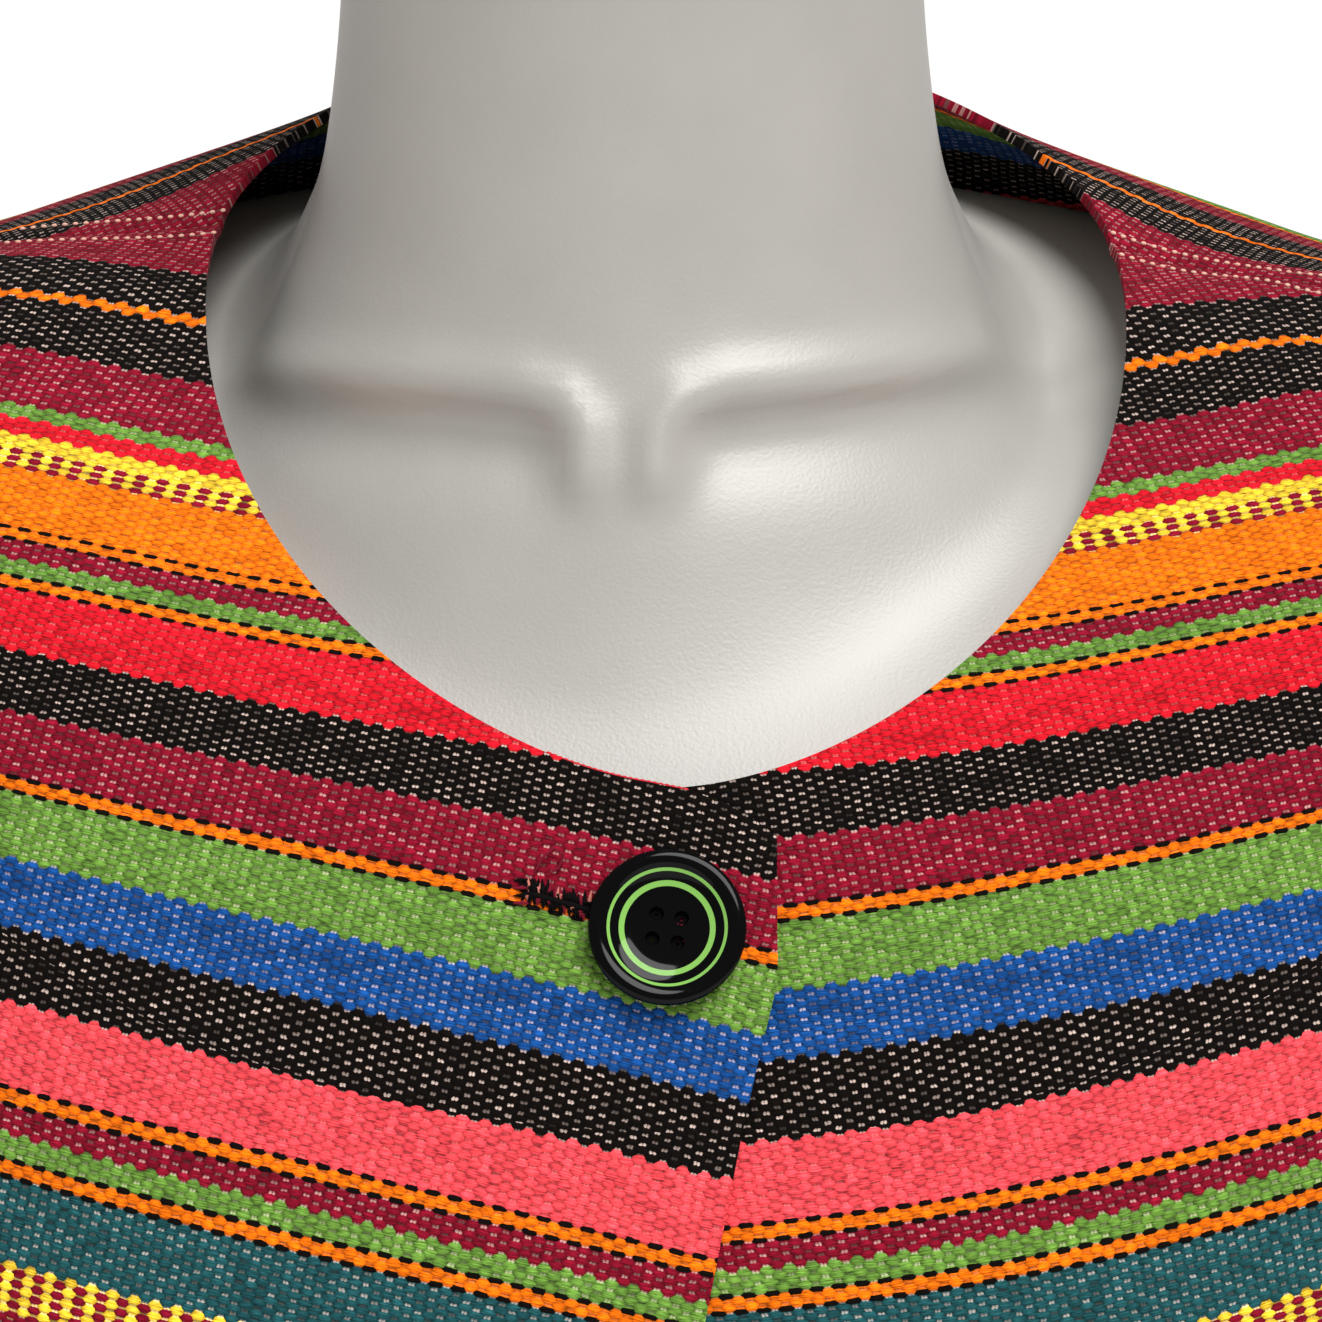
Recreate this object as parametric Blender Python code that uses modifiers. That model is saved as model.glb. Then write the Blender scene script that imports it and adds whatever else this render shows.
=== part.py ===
"""Cropped handwoven jacket with one button, worn by a limbless dress form.

Metres, +Z up. The origin is on the surface that the form stands on, below the middle of the whole
part. The front faces -Y, so the wearer's left is at +X. Every cloth piece is a net of points on one
body surface, given its wall by Solidify. The surface is worked out from a short table of sections.
"""
from math import asin, cos, pi, radians, sin, sqrt, tan, tanh

import bmesh
import bpy
from mathutils import Matrix, Vector

# Driving dimensions
WALL = 0.002               # cloth, with its turned edges
SEAM_GAP = 0.0004          # between two pieces at a seam
SLEEVE_GAP = 0.0007        # between a sleeve's first ring and the armhole's edge
LAYER_GAP = 0.0006         # between the two fronts where they overlap
JACKET_SHIFT = 0.0065      # the jacket hangs a little to the wearer's left on the form
SKEW_DROP = 0.0024         # its left half hangs lower than its right half by twice this
SKEW_WIDTH = 0.070
OVERLAP_HALF = 0.0195      # from the centre front to each front's edge
PART_HEIGHT = 0.4845       # below this height the front edges swing apart
PART_SLOPE = tan(radians(12.1))
CORNER_START = -0.004      # a front's upper corner is rounded from this far past the centre front
CORNER_DROP = 0.41         # down by this share of a row at the very edge
CORNER_BEND = 2.0          # 1 would cut the corner straight, more makes it rounder
LAYER_FLAT = 0.024         # the fronts keep their layers this far from the centre front
LAYER_END = 0.085          # and are back on the common surface here
BUTTON_DIAMETER = 0.028
BUTTON_HEIGHT = 0.4875     # centre of the button above the floor

# Sections of the jacket's body, from the hem up to the neck edge. Each is a rounded oval that rises
# or dips between its front, side and back heights. square and depth_square set how boxy the oval is
# across and in depth, front_bend and back_bend how the height runs from the side to front and back.
SECTION_COLUMNS = ("z_front", "z_side", "z_back", "half_width", "front", "back", "square",
                   "depth_square", "front_bend", "back_bend")
JACKET_SECTIONS = (
    (0.180, 0.180, 0.180, 0.226, 0.132, 0.126, 2.70, 2.70, 1.30, 1.60),    # hem
    (0.250, 0.250, 0.250, 0.222, 0.135, 0.120, 2.70, 2.70, 1.30, 1.60),    # waist
    (0.330, 0.335, 0.335, 0.218, 0.139, 0.120, 2.60, 2.60, 1.30, 1.60),    # under the bust
    (0.385, 0.430, 0.425, 0.213, 0.139, 0.124, 2.50, 2.50, 1.30, 1.60),    # underarm
    (0.425, 0.510, 0.500, 0.206, 0.132, 0.124, 2.35, 2.35, 1.30, 1.60),    # middle of the armhole
    (0.455, 0.577, 0.558, 0.193, 0.121, 0.112, 2.20, 2.30, 1.30, 1.50),    # shoulder point
    (0.485, 0.591, 0.606, 0.140, 0.108, 0.090, 2.05, 2.40, 1.30, 1.30),    # yoke
    (0.511, 0.591, 0.633, 0.089, 0.094, 0.062, 1.62, 2.50, 0.98, 0.96),    # neck edge
)
HEM_ROW = 0
UNDERARM_ROW = 3
SHOULDER_ROW = 5
NECK_ROW = 7
FORM_SECTIONS = (
    (0.000, 0.000, 0.000, 0.166, 0.090, 0.112, 2.20, 2.20, 1.30, 1.60),    # flat base
    (0.060, 0.060, 0.060, 0.171, 0.094, 0.120, 2.20, 2.20, 1.30, 1.60),    # hips
    (0.150, 0.150, 0.150, 0.151, 0.088, 0.098, 2.20, 2.20, 1.30, 1.60),    # belly
    (0.250, 0.250, 0.250, 0.122, 0.077, 0.070, 2.20, 2.20, 1.30, 1.60),    # waist
    (0.330, 0.330, 0.330, 0.134, 0.090, 0.082, 2.20, 2.20, 1.30, 1.60),    # ribs
    (0.410, 0.420, 0.420, 0.147, 0.120, 0.100, 2.20, 2.20, 1.30, 1.60),    # bust
    (0.440, 0.468, 0.466, 0.164, 0.116, 0.112, 2.20, 2.30, 1.30, 1.60),    # armpit
    (0.462, 0.526, 0.514, 0.184, 0.110, 0.113, 2.20, 2.30, 1.30, 1.60),    # stump of the arm
    (0.480, 0.568, 0.551, 0.187, 0.104, 0.109, 2.20, 2.30, 1.30, 1.60),    # shoulder end
    (0.494, 0.5827, 0.579, 0.167, 0.098, 0.101, 2.10, 2.30, 1.25, 1.40),   # top of the shoulder
    (0.507, 0.5867, 0.6007, 0.133, 0.089, 0.089, 2.00, 2.30, 1.20, 1.30),  # collarbones
    (0.524, 0.574, 0.611, 0.092, 0.077, 0.068, 1.75, 2.40, 1.00, 1.00),    # edge of the chest
    (0.551, 0.573, 0.621, 0.078, 0.066, 0.058, 1.80, 2.20, 1.00, 0.95),    # hollow by the neck
    (0.582, 0.593, 0.634, 0.0665, 0.057, 0.053, 1.90, 2.00, 1.00, 1.00),   # foot of the neck
    (0.608, 0.616, 0.644, 0.0595, 0.052, 0.051, 2.00, 2.00, 1.00, 1.00),   # low neck
    (0.650, 0.655, 0.662, 0.0555, 0.049, 0.050, 2.00, 2.00, 1.00, 1.00),   # middle of the neck
    (0.698, 0.698, 0.698, 0.0570, 0.052, 0.053, 2.00, 2.00, 1.00, 1.00),   # top of the neck
    (0.709, 0.709, 0.709, 0.0540, 0.049, 0.050, 2.00, 2.00, 1.00, 1.00),   # rounded rim
    (0.712, 0.712, 0.712, 0.0480, 0.043, 0.044, 2.00, 2.00, 1.00, 1.00),   # edge of the flat top
)

# The seam between front and back, and the armhole that it opens into, as turns round the body
SIDE_SEAM_TURN = 0.0
SHOULDER_POINT_TURN = radians(6)
SHOULDER_NECK_TURN = radians(8)
SHOULDER_BOWS = {1: radians(9), -1: 0.0}   # the wearer's left shoulder seam has slipped forwards
ARMHOLE_FRONT = radians(30)
ARMHOLE_BACK = radians(27)

# Sleeve sections from just outside the armhole down to the cuff. under is the point beside the body
# and over the one on the outside, each by its distance from the middle of the jacket and its height.
SLEEVE_COLUMNS = ("under_x", "under_z", "over_x", "over_z", "half_depth")
SLEEVE_SECTIONS = (
    (0.2178, 0.4370, 0.2120, 0.5680, 0.0735),
    (0.2230, 0.4330, 0.2310, 0.5570, 0.0775),
    (0.2262, 0.4210, 0.2480, 0.5360, 0.0800),
    (0.2272, 0.4060, 0.2620, 0.5040, 0.0810),
    (0.2276, 0.3900, 0.2710, 0.4620, 0.0805),
    (0.2290, 0.3600, 0.2770, 0.4050, 0.0785),    # upper arm
    (0.2340, 0.3000, 0.2820, 0.3150, 0.0735),
    (0.2400, 0.2300, 0.2860, 0.2350, 0.0680),    # elbow
    (0.2460, 0.1700, 0.2900, 0.1700, 0.0635),
    (0.2520, 0.1180, 0.2930, 0.1160, 0.0600),    # cuff
)
SLEEVE_SQUARE = 2.2
SLEEVE_HEAD = 0.0035       # the sleeve runs on along the body for this far before it turns out
ARMHOLE_RADIUS = 0.072     # mean radius, to turn a length at the seam into a share of the armhole

# Soft waves of the hanging cloth: how many go round the body, their depth at the hem, and where
# they have faded out
DRAPE_WAVES = 9
DRAPE_DEPTH = 0.0030
DRAPE_TOP = 0.400
DRAPE_UNEVEN = 0.7         # how far the waves are bunched towards the front and the back

# How finely each piece is divided
FRONT_COLUMNS = 14
BACK_COLUMNS = 22
LOWER_CELLS = 5
ARMHOLE_CELLS = 10
YOKE_CELLS = 6
SLEEVE_CELLS = 15
FORM_COLUMNS = 32
FORM_CELLS = 26
ROW_SAMPLES = 120          # points along a row before it is spread evenly
NORMAL_STEP = 0.02         # turn, and share of a row, to either side of a point for its normal
HALVINGS = 30
SHARP_EDGE = radians(50)
MERGE_DISTANCE = 0.00001

# Button profile: distance from the axis and height above the cloth, as shares of the radius
BUTTON_PROFILE = (
    (0.00, 0.12), (0.50, 0.13), (0.66, 0.17), (0.82, 0.26), (0.92, 0.27), (1.00, 0.21),
    (0.98, 0.13), (0.84, 0.04), (0.50, 0.00), (0.00, 0.00),
)
BUTTON_SIDES = 32
BUTTON_HOLE_RADIUS = 0.00115
BUTTON_HOLE_SPACING = 0.0044
BUTTON_HOLE_TURN = radians(-10)
BUTTON_HOLE_SIDES = 10
BUTTON_REST = 0.0003       # clear of the cloth under it

# Colours are linear
CORAL = (0.45, 0.05, 0.09)
ORANGE = (0.60, 0.20, 0.04)
GREEN = (0.12, 0.28, 0.08)
BLUE = (0.03, 0.10, 0.35)
BLACK = (0.010, 0.010, 0.011)
GREY = (0.36, 0.37, 0.38)
CLOTH_ROUGHNESS = 0.85
BUTTON_ROUGHNESS = 0.15
FORM_ROUGHNESS = 0.35


def spline(rows, place, column):
    """Read one column of a table of sections at a place between its rows, along a smooth curve."""
    last = len(rows) - 1
    start = min(max(int(place), 0), last - 1)
    part = place - start
    here, after = rows[start][column], rows[start + 1][column]
    before = rows[start - 1][column] if start > 0 else 2 * here - after
    beyond = rows[start + 2][column] if start + 2 <= last else 2 * after - here
    cubed = 0.5 * (3 * (here - after) + beyond - before)
    squared = 0.5 * (2 * before - 5 * here + 4 * after - beyond)
    slope = 0.5 * (after - before)
    return ((cubed * part + squared) * part + slope) * part + here


def read_row(rows, columns, place):
    """All columns of a table at a place between its rows, by name."""
    return {name: spline(rows, place, column) for column, name in enumerate(columns)}


def smooth_step(value, start, stop):
    """Rise softly from 0 at start to 1 at stop."""
    share = min(max((value - start) / (stop - start), 0.0), 1.0)
    return share * share * (3 - 2 * share)


def rounded(value, square):
    """The cosine or sine of a turn, bent so that the oval it makes is boxier or more pointed."""
    return (1 if value >= 0 else -1) * abs(value) ** (2.0 / square)


def section_point(rows, place, turn):
    """A point of a surface: place runs up its table and turn goes round it, -90 degrees in front."""
    row = read_row(rows, SECTION_COLUMNS, place)
    along = sin(turn)
    depth, height, bend = ("front", "z_front", "front_bend") if along < 0 else (
        "back", "z_back", "back_bend")
    lift = (row[height] - row["z_side"]) * abs(along) ** row[bend]
    return Vector((row["half_width"] * rounded(cos(turn), row["square"]),
                   row[depth] * rounded(along, row["depth_square"]),
                   row["z_side"] + lift))


def jacket_point(place, turn):
    """A point on the middle of the jacket's cloth, with its soft waves and its skew on the form."""
    point = section_point(JACKET_SECTIONS, place, turn)
    hem_height = JACKET_SECTIONS[HEM_ROW][0]
    fade = smooth_step(DRAPE_TOP - point.z, 0.0, DRAPE_TOP - hem_height)
    wave = sin(DRAPE_WAVES * turn + DRAPE_UNEVEN * sin(2 * turn))
    outward = Vector((point.x, point.y, 0.0)).normalized()
    point += outward * (DRAPE_DEPTH * fade * wave)
    drop = SKEW_DROP * tanh(point.x / SKEW_WIDTH)
    return point + Vector((JACKET_SHIFT, 0.0, -drop))


def jacket_normal(place, turn):
    """The outward direction of the jacket's surface."""
    round_it = jacket_point(place, turn + NORMAL_STEP) - jacket_point(place, turn - NORMAL_STEP)
    lower = max(place - NORMAL_STEP, HEM_ROW)
    upper = min(place + NORMAL_STEP, NECK_ROW)
    up_it = jacket_point(upper, turn) - jacket_point(lower, turn)
    return round_it.cross(up_it).normalized()


def turn_at(place, x):
    """The turn at which the front of a section lies a distance x from the centre front."""
    row = read_row(JACKET_SECTIONS, SECTION_COLUMNS, place)
    share = (abs(x) / row["half_width"]) ** (row["square"] / 2)
    return -pi / 2 + (1 if x >= 0 else -1) * asin(share)


def on_side(turn, side):
    """The same turn on the wearer's left, where side is 1, or mirrored to the right, where it is -1."""
    return turn if side > 0 else pi - turn


def seam_turn(place, armhole_cut, side):
    """Where front and back meet, or the armhole's edge between them, as if on the left side."""
    if place <= UNDERARM_ROW:
        return SIDE_SEAM_TURN
    if place >= SHOULDER_ROW:
        share = (place - SHOULDER_ROW) / (NECK_ROW - SHOULDER_ROW)
        straight = SHOULDER_POINT_TURN + share * (SHOULDER_NECK_TURN - SHOULDER_POINT_TURN)
        return straight - SHOULDER_BOWS[side] * sin(pi * share)
    middle = (UNDERARM_ROW + SHOULDER_ROW) / 2
    height = (place - middle) / (SHOULDER_ROW - middle)
    return armhole_turn(height, sqrt(max(1 - height * height, 0.0)), armhole_cut)


def armhole_turn(height, width, armhole_cut):
    """The armhole is an oval on the body surface: height and width are its cosine and sine."""
    centre = SIDE_SEAM_TURN + (1 + height) / 2 * (SHOULDER_POINT_TURN - SIDE_SEAM_TURN)
    return centre + armhole_cut * width


def panel_places():
    """The rows of every body panel, the same on each so that their seams match point for point."""
    lower = [UNDERARM_ROW * cell / LOWER_CELLS for cell in range(LOWER_CELLS)]
    middle = (UNDERARM_ROW + SHOULDER_ROW) / 2
    armhole = [middle - cos(pi * cell / ARMHOLE_CELLS) for cell in range(ARMHOLE_CELLS)]
    yoke = [SHOULDER_ROW + (NECK_ROW - SHOULDER_ROW) * cell / YOKE_CELLS
            for cell in range(YOKE_CELLS + 1)]
    return lower + armhole + yoke


def even_row(place, start, stop, columns, trims):
    """Points spread evenly along one row between two turns, each with its turn.

    trims holds the length left off at the start and at the stop for the gap at a seam.
    """
    turns = [start + (stop - start) * sample / ROW_SAMPLES for sample in range(ROW_SAMPLES + 1)]
    points = [jacket_point(place, turn) for turn in turns]
    lengths = [0.0]
    for before, after in zip(points, points[1:]):
        lengths.append(lengths[-1] + (after - before).length)
    first, last = trims[0], lengths[-1] - trims[1]
    row = []
    sample = 0
    for column in range(columns + 1):
        length = first + (last - first) * column / columns
        while sample < ROW_SAMPLES - 1 and lengths[sample + 1] < length:
            sample += 1
        share = (length - lengths[sample]) / (lengths[sample + 1] - lengths[sample])
        turn = turns[sample] + share * (turns[sample + 1] - turns[sample])
        row.append((points[sample].lerp(points[sample + 1], share), turn))
    return row


def front_edge_x(place):
    """How far a front runs past the centre front, less and less below the button."""
    height = spline(JACKET_SECTIONS, place, SECTION_COLUMNS.index("z_front"))
    return OVERLAP_HALF - max(PART_HEIGHT - height, 0.0) * PART_SLOPE


def corner_drop(place, past):
    """How far a point past the centre front moves down its table, to round the upper corner."""
    if past <= CORNER_START or place <= SHOULDER_ROW:
        return 0.0
    across = (past - CORNER_START) / (OVERLAP_HALF - CORNER_START)
    up = (place - SHOULDER_ROW) / (NECK_ROW - SHOULDER_ROW)
    return CORNER_DROP * up * min(across, 1.0) ** CORNER_BEND


def front_rows(side, layer):
    """The net of one front. layer is 1 for the front on top and -1 for the one under it."""
    rows = []
    for place in panel_places():
        start = on_side(turn_at(place, -front_edge_x(place)), side)
        stop = on_side(seam_turn(place, -ARMHOLE_FRONT, side), side)
        row = []
        for point, turn in even_row(place, start, stop, FRONT_COLUMNS, (0.0, SEAM_GAP / 2)):
            x = point.x - JACKET_SHIFT
            drop = corner_drop(place, -side * x)
            if drop > 0:
                turn = turn_at(place - drop, x)
                point = jacket_point(place - drop, turn)
            share = 1 - smooth_step(side * x, LAYER_FLAT, LAYER_END)
            lift = layer * share * (WALL + LAYER_GAP) / 2
            row.append(point + jacket_normal(place - drop, turn) * lift)
        rows.append(row)
    return rows


def back_rows():
    """The net of the back, from the wearer's left side seam to the right one."""
    rows = []
    for place in panel_places():
        start = seam_turn(place, ARMHOLE_BACK, 1)
        stop = pi - seam_turn(place, ARMHOLE_BACK, -1)
        trims = (SEAM_GAP / 2, SEAM_GAP / 2)
        rows.append([point for point, _ in even_row(place, start, stop, BACK_COLUMNS, trims)])
    return rows


def armhole_ring(side, inset):
    """The armhole's outline drawn in by a length, on the body surface, from the shoulder forwards."""
    share = 1 - inset / ARMHOLE_RADIUS
    middle = (UNDERARM_ROW + SHOULDER_ROW) / 2
    reach = (SHOULDER_ROW - UNDERARM_ROW) / 2
    ring = []
    for step in range(2 * ARMHOLE_CELLS):
        angle = pi * step / ARMHOLE_CELLS
        cut = -ARMHOLE_FRONT if angle < pi else ARMHOLE_BACK
        turn = armhole_turn(cos(angle) * share, abs(sin(angle)) * share, cut)
        ring.append(jacket_point(middle + reach * cos(angle) * share, on_side(turn, side)))
    return ring


def sleeve_ring(side, place):
    """One oval section of the sleeve, from its outer point forwards."""
    row = read_row(SLEEVE_SECTIONS, SLEEVE_COLUMNS, place)
    under = Vector((row["under_x"], 0.0, row["under_z"]))
    over = Vector((row["over_x"], 0.0, row["over_z"]))
    middle, reach = (under + over) / 2, (over - under) / 2
    drop = side * SKEW_DROP
    ring = []
    for step in range(2 * ARMHOLE_CELLS):
        angle = pi * step / ARMHOLE_CELLS
        point = middle + reach * rounded(cos(angle), SLEEVE_SQUARE)
        point.y = -row["half_depth"] * rounded(sin(angle), SLEEVE_SQUARE)
        ring.append(Vector((side * point.x + JACKET_SHIFT, point.y, point.z - drop)))
    return ring


def sleeve_rows(side):
    """The net of one sleeve: two rings along the body surface, then the table's sections."""
    rows = [armhole_ring(side, SLEEVE_GAP), armhole_ring(side, SLEEVE_HEAD)]
    last = len(SLEEVE_SECTIONS) - 1
    rows += [sleeve_ring(side, last * cell / SLEEVE_CELLS) for cell in range(SLEEVE_CELLS + 1)]
    return rows


def form_rows():
    """The net of the dress form, from its base up to the edge of its flat top."""
    last = len(FORM_SECTIONS) - 1
    rows = []
    for cell in range(FORM_CELLS + 1):
        place = last * cell / FORM_CELLS
        rows.append([section_point(FORM_SECTIONS, place, 2 * pi * step / FORM_COLUMNS)
                     for step in range(FORM_COLUMNS)])
    return rows


def net_mesh(name, rows, ring=False, caps=False):
    """Join rows of points with faces. ring closes each row on itself and caps closes the ends."""
    net = bmesh.new()
    verts = [[net.verts.new(point) for point in row] for row in rows]
    cells = len(rows[0]) if ring else len(rows[0]) - 1
    for lower, upper in zip(verts, verts[1:]):
        for cell in range(cells):
            beside = (cell + 1) % len(lower)
            net.faces.new((lower[cell], lower[beside], upper[beside], upper[cell]))
    if caps:
        net.faces.new(list(reversed(verts[0])))
        net.faces.new(verts[-1])
    bmesh.ops.recalc_face_normals(net, faces=net.faces)
    mesh = bpy.data.meshes.new(name)
    net.to_mesh(mesh)
    net.free()
    return mesh


def make_material(name, color, roughness, metallic=0.0):
    """A plain Principled material."""
    material = bpy.data.materials.new(name)
    material.use_nodes = True
    shader = material.node_tree.nodes["Principled BSDF"]
    shader.inputs["Base Color"].default_value = (*color, 1.0)
    shader.inputs["Roughness"].default_value = roughness
    shader.inputs["Metallic"].default_value = metallic
    return material


def add_piece(collection, name, mesh, material):
    """Put a mesh in the scene as one named piece."""
    piece = bpy.data.objects.new(name, mesh)
    mesh.materials.append(material)
    collection.objects.link(piece)
    return piece


def add_cloth(collection, name, rows, material, ring=False, even=True):
    """A cloth piece: its net of points, with the wall spread evenly to both sides."""
    piece = add_piece(collection, name, net_mesh(name, rows, ring), material)
    wall = piece.modifiers.new("wall", "SOLIDIFY")
    wall.thickness = WALL
    wall.offset = 0.0
    wall.use_even_offset = even
    return piece


def add_button(collection, cutters, material):
    """The button: a turned dish with a rolled rim, and four holes through its middle."""
    radius = BUTTON_DIAMETER / 2
    profile = bmesh.new()
    verts = [profile.verts.new((share * radius, 0.0, height * radius))
             for share, height in BUTTON_PROFILE]
    for before, after in zip(verts, verts[1:]):
        profile.edges.new((before, after))
    bmesh.ops.spin(profile, geom=profile.verts[:] + profile.edges[:], axis=(0, 0, 1),
                   cent=(0, 0, 0), steps=BUTTON_SIDES, angle=2 * pi, use_merge=True)
    bmesh.ops.remove_doubles(profile, verts=profile.verts, dist=MERGE_DISTANCE)
    bmesh.ops.recalc_face_normals(profile, faces=profile.faces)
    mesh = bpy.data.meshes.new("button")
    profile.to_mesh(mesh)
    profile.free()
    button = add_piece(collection, "button", mesh, material)
    turn = -pi / 2
    place = place_at_height(BUTTON_HEIGHT, turn)
    normal = jacket_normal(place, turn)
    seat = jacket_point(place, turn) + normal * (WALL + LAYER_GAP / 2 + BUTTON_REST)
    facing = normal.to_track_quat("Z", "Y").to_matrix().to_4x4()
    button.matrix_world = Matrix.Translation(seat) @ facing
    for row in range(2):
        for column in range(2):
            spot = Vector((row - 0.5, column - 0.5, 0.0)) * BUTTON_HOLE_SPACING
            spot.rotate(Matrix.Rotation(BUTTON_HOLE_TURN, 3, "Z"))
            cut_hole(cutters, button, spot)
    return button


def cut_hole(cutters, button, spot):
    """Cut one round hole through the button."""
    tool = bmesh.new()
    bmesh.ops.create_cone(tool, cap_ends=True, segments=BUTTON_HOLE_SIDES,
                          radius1=BUTTON_HOLE_RADIUS, radius2=BUTTON_HOLE_RADIUS,
                          depth=BUTTON_DIAMETER, matrix=Matrix.Translation(spot))
    mesh = bpy.data.meshes.new("hole_cutter")
    tool.to_mesh(mesh)
    tool.free()
    cutter = bpy.data.objects.new("hole_cutter", mesh)
    cutters.objects.link(cutter)
    cutter.matrix_world = button.matrix_world
    cutter.hide_render = True
    cutter.display_type = "WIRE"
    cut = button.modifiers.new("hole", "BOOLEAN")
    cut.operation = "DIFFERENCE"
    cut.object = cutter


def place_at_height(height, turn):
    """The place on the jacket's table where its surface is at a given height, found by halving."""
    low, high = float(UNDERARM_ROW), float(NECK_ROW)
    for _ in range(HALVINGS):
        middle = (low + high) / 2
        if jacket_point(middle, turn).z < height:
            low = middle
        else:
            high = middle
    return (low + high) / 2


def build():
    """Make every piece."""
    for item in list(bpy.data.objects):
        bpy.data.objects.remove(item, do_unlink=True)
    jacket = bpy.data.collections.new("cropped_jacket")
    cutters = bpy.data.collections.new("cutters")
    bpy.context.scene.collection.children.link(jacket)
    bpy.context.scene.collection.children.link(cutters)
    coral = make_material("coral_cloth", CORAL, CLOTH_ROUGHNESS)
    orange = make_material("orange_cloth", ORANGE, CLOTH_ROUGHNESS)
    green = make_material("green_cloth", GREEN, CLOTH_ROUGHNESS)
    add_cloth(jacket, "front_right", front_rows(-1, 1), coral)
    add_cloth(jacket, "front_left", front_rows(1, -1), orange)
    add_cloth(jacket, "back", back_rows(), green)
    for name, side in (("sleeve_right", -1), ("sleeve_left", 1)):
        blue = make_material(name + "_blue_cloth", BLUE, CLOTH_ROUGHNESS)
        add_cloth(jacket, name, sleeve_rows(side), blue, ring=True, even=False)
    add_button(jacket, cutters, make_material("black_button", BLACK, BUTTON_ROUGHNESS))
    form_mesh = net_mesh("form", form_rows(), ring=True, caps=True)
    form_mesh.shade_smooth()
    form_mesh.set_sharp_from_angle(angle=SHARP_EDGE)
    add_piece(jacket, "form", form_mesh, make_material("grey_moulding", GREY, FORM_ROUGHNESS))


build()
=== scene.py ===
# %% [markdown]
# This lesson builds a cropped jacket of striped handwoven cotton on a dress form without arms:
# five pieces of cloth with their sewing, one large button in a frayed buttonhole, and the grey
# moulded form under them. A plain solid of each is in the frame already.

# %% Load the frame
import random
from math import asin, cos, exp, pi, radians, sin, sqrt, tan, tanh

import bmesh
import bpy
import numpy as np
from mathutils import Matrix, Vector


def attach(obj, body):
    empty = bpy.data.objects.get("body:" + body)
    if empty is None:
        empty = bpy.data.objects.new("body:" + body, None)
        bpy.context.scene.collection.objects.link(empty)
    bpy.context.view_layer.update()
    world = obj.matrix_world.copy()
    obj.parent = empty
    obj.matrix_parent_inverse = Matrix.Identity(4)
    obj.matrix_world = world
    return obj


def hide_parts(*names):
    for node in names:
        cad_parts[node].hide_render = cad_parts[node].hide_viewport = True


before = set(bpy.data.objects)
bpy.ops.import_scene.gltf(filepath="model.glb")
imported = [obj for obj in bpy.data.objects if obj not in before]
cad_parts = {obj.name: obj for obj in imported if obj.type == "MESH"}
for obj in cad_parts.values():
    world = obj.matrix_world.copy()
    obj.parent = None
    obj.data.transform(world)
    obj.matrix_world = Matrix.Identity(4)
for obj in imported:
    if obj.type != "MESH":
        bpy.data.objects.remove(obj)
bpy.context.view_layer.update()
print("solids in the frame:", sorted(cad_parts))

# %% [markdown]
# The jacket is five pieces of cloth: two fronts, a back and two sleeves. A real one is cut flat and
# then bends round the body, so its stripes stay straight in the cloth and curve only because the
# body does. The lesson follows that order. It draws the body surface, lays each piece flat to find
# which thread passes through which point, and only then colours the threads.
#
# First come the numbers that the solids were built from. The same tables give this fine cloth the
# same place and outline.

# %% Sizes shared with the solids
WALL = 0.002
SEAM_GAP = 0.0004
SLEEVE_GAP = 0.0007
LAYER_GAP = 0.0006
JACKET_SHIFT = 0.0065
SKEW_DROP = 0.0024
SKEW_WIDTH = 0.070
OVERLAP_HALF = 0.0195
PART_HEIGHT = 0.4845
PART_SLOPE = tan(radians(12.1))
CORNER_START, CORNER_DROP, CORNER_BEND = -0.004, 0.41, 2.0
LAYER_FLAT = 0.024
LAYER_END = 0.085
BUTTON_DIAMETER = 0.028
BUTTON_HEIGHT = 0.4875
BUTTON_REST = 0.0003

SECTION_COLUMNS = ("z_front", "z_side", "z_back", "half_width", "front", "back", "square",
                   "depth_square", "front_bend", "back_bend")
JACKET_SECTIONS = (
    (0.180, 0.180, 0.180, 0.226, 0.132, 0.126, 2.70, 2.70, 1.30, 1.60),    # hem
    (0.250, 0.250, 0.250, 0.222, 0.135, 0.120, 2.70, 2.70, 1.30, 1.60),    # waist
    (0.330, 0.335, 0.335, 0.218, 0.139, 0.120, 2.60, 2.60, 1.30, 1.60),    # under the bust
    (0.385, 0.430, 0.425, 0.213, 0.139, 0.124, 2.50, 2.50, 1.30, 1.60),    # underarm
    (0.425, 0.510, 0.500, 0.206, 0.132, 0.124, 2.35, 2.35, 1.30, 1.60),    # middle of the armhole
    (0.455, 0.577, 0.558, 0.193, 0.121, 0.112, 2.20, 2.30, 1.30, 1.50),    # shoulder point
    (0.485, 0.591, 0.606, 0.140, 0.108, 0.090, 2.05, 2.40, 1.30, 1.30),    # yoke
    (0.511, 0.591, 0.633, 0.089, 0.094, 0.062, 1.62, 2.50, 0.98, 0.96),    # neck edge
)
HEM_ROW = 0
UNDERARM_ROW = 3
SHOULDER_ROW = 5
NECK_ROW = 7
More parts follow.
